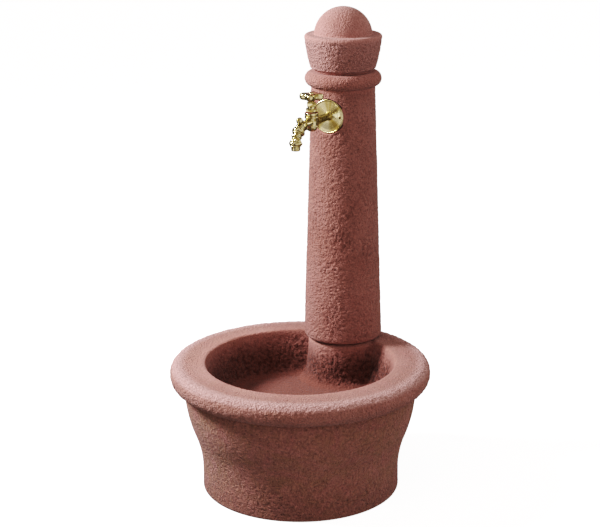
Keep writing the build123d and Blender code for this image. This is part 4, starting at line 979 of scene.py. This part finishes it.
def stage():
    """Pale studio floor, a soft key light from the left and the camera at the photograph's angle."""
    mesh = bpy.data.meshes.new("floor")
    corners = [(-1, -1), (1, -1), (1, 1), (-1, 1)]
    mesh.from_pydata([(x * FLOOR_HALF, y * FLOOR_HALF, 0.0) for x, y in corners], [], [(0, 1, 2, 3)])
    floor = bpy.data.objects.new("floor", mesh)
    bpy.context.scene.collection.objects.link(floor)
    material, _, shader, _ = new_material("pale_studio_floor")
    shader.inputs["Base Color"].default_value = (0.5, 0.5, 0.5, 1.0)
    shader.inputs["Roughness"].default_value = 0.9
    shader.inputs["Specular IOR Level"].default_value = 0.1
    shader.inputs["Emission Color"].default_value = (1.0, 1.0, 1.0, 1.0)
    shader.inputs["Emission Strength"].default_value = FLOOR_GLOW
    mesh.materials.append(material)
    floor.visible_diffuse = False
    floor.visible_glossy = False

    right = Vector((math.cos(CAMERA_TURN), math.sin(CAMERA_TURN), 0.0))
    near = Vector((math.sin(CAMERA_TURN), -math.cos(CAMERA_TURN), 0.0))
    up = Vector((0.0, 0.0, 1.0))

    world = bpy.data.worlds.new("studio")
    bpy.context.scene.world = world
    world.use_nodes = True
    tree = world.node_tree
    sight = add(tree, "ShaderNodeTexCoord").outputs["Generated"]
    glow = ROOM_GLOW
    for aim, edge, core, power in PANELS:
        aim = aim[0] * near + aim[1] * right + aim[2] * up
        facing = add(tree, "ShaderNodeVectorMath", {0: sight, 1: aim.normalized()},
                     operation="DOT_PRODUCT").outputs["Value"]
        panel = add(tree, "ShaderNodeMapRange", {"Value": facing, "From Min": edge, "From Max": core,
                                                 "To Max": power}).outputs[0]
        glow = add(tree, "ShaderNodeMath", {0: panel, 1: glow}, operation="ADD").outputs[0]
    tree.nodes["Background"].inputs["Color"].default_value = FILL_TINT
    tree.links.new(glow, tree.nodes["Background"].inputs["Strength"])

    lamp = bpy.data.lights.new("key", "AREA")
    lamp.shape = "DISK"
    lamp.size = KEY_SIZE
    lamp.energy = KEY_POWER
    lamp.color = KEY_TINT
    holder = bpy.data.objects.new("key", lamp)
    level = math.cos(KEY_SIDE) * near - math.sin(KEY_SIDE) * right
    ray = math.cos(KEY_RISE) * level + math.sin(KEY_RISE) * up
    holder.rotation_euler = ray.to_track_quat("Z", "Y").to_euler()
    holder.location = KEY_AIM * up + KEY_REACH * ray
    bpy.context.scene.collection.objects.link(holder)

    camera = bpy.data.cameras.new("camera")
    camera.sensor_width = SENSOR_WIDTH
    camera.lens = SENSOR_WIDTH * CAMERA_FOCUS / PICTURE_WIDTH
    holder = bpy.data.objects.new("camera", camera)
    spot = CAMERA_REACH * near + CAMERA_HEIGHT * up
    heading = Matrix.Rotation(CAMERA_TURN - CAMERA_YAW, 4, "Z")
    pitch = Matrix.Rotation(math.pi / 2 - CAMERA_PITCH, 4, "X")
    roll = Matrix.Rotation(CAMERA_ROLL, 4, "Z")
    holder.matrix_world = Matrix.Translation(spot) @ heading @ pitch @ roll
    bpy.context.scene.collection.objects.link(holder)
    bpy.context.scene.camera = holder
    view = bpy.context.scene.view_settings
    view.view_transform = "Standard"
    view.use_curve_mapping = True
    view.curve_mapping.white_level = [TONE_WHITE] * 3
    for light, shown in TONE_CURVE:
        view.curve_mapping.curves[3].points.new(light / TONE_WHITE, shown)
    view.curve_mapping.update()


stage()
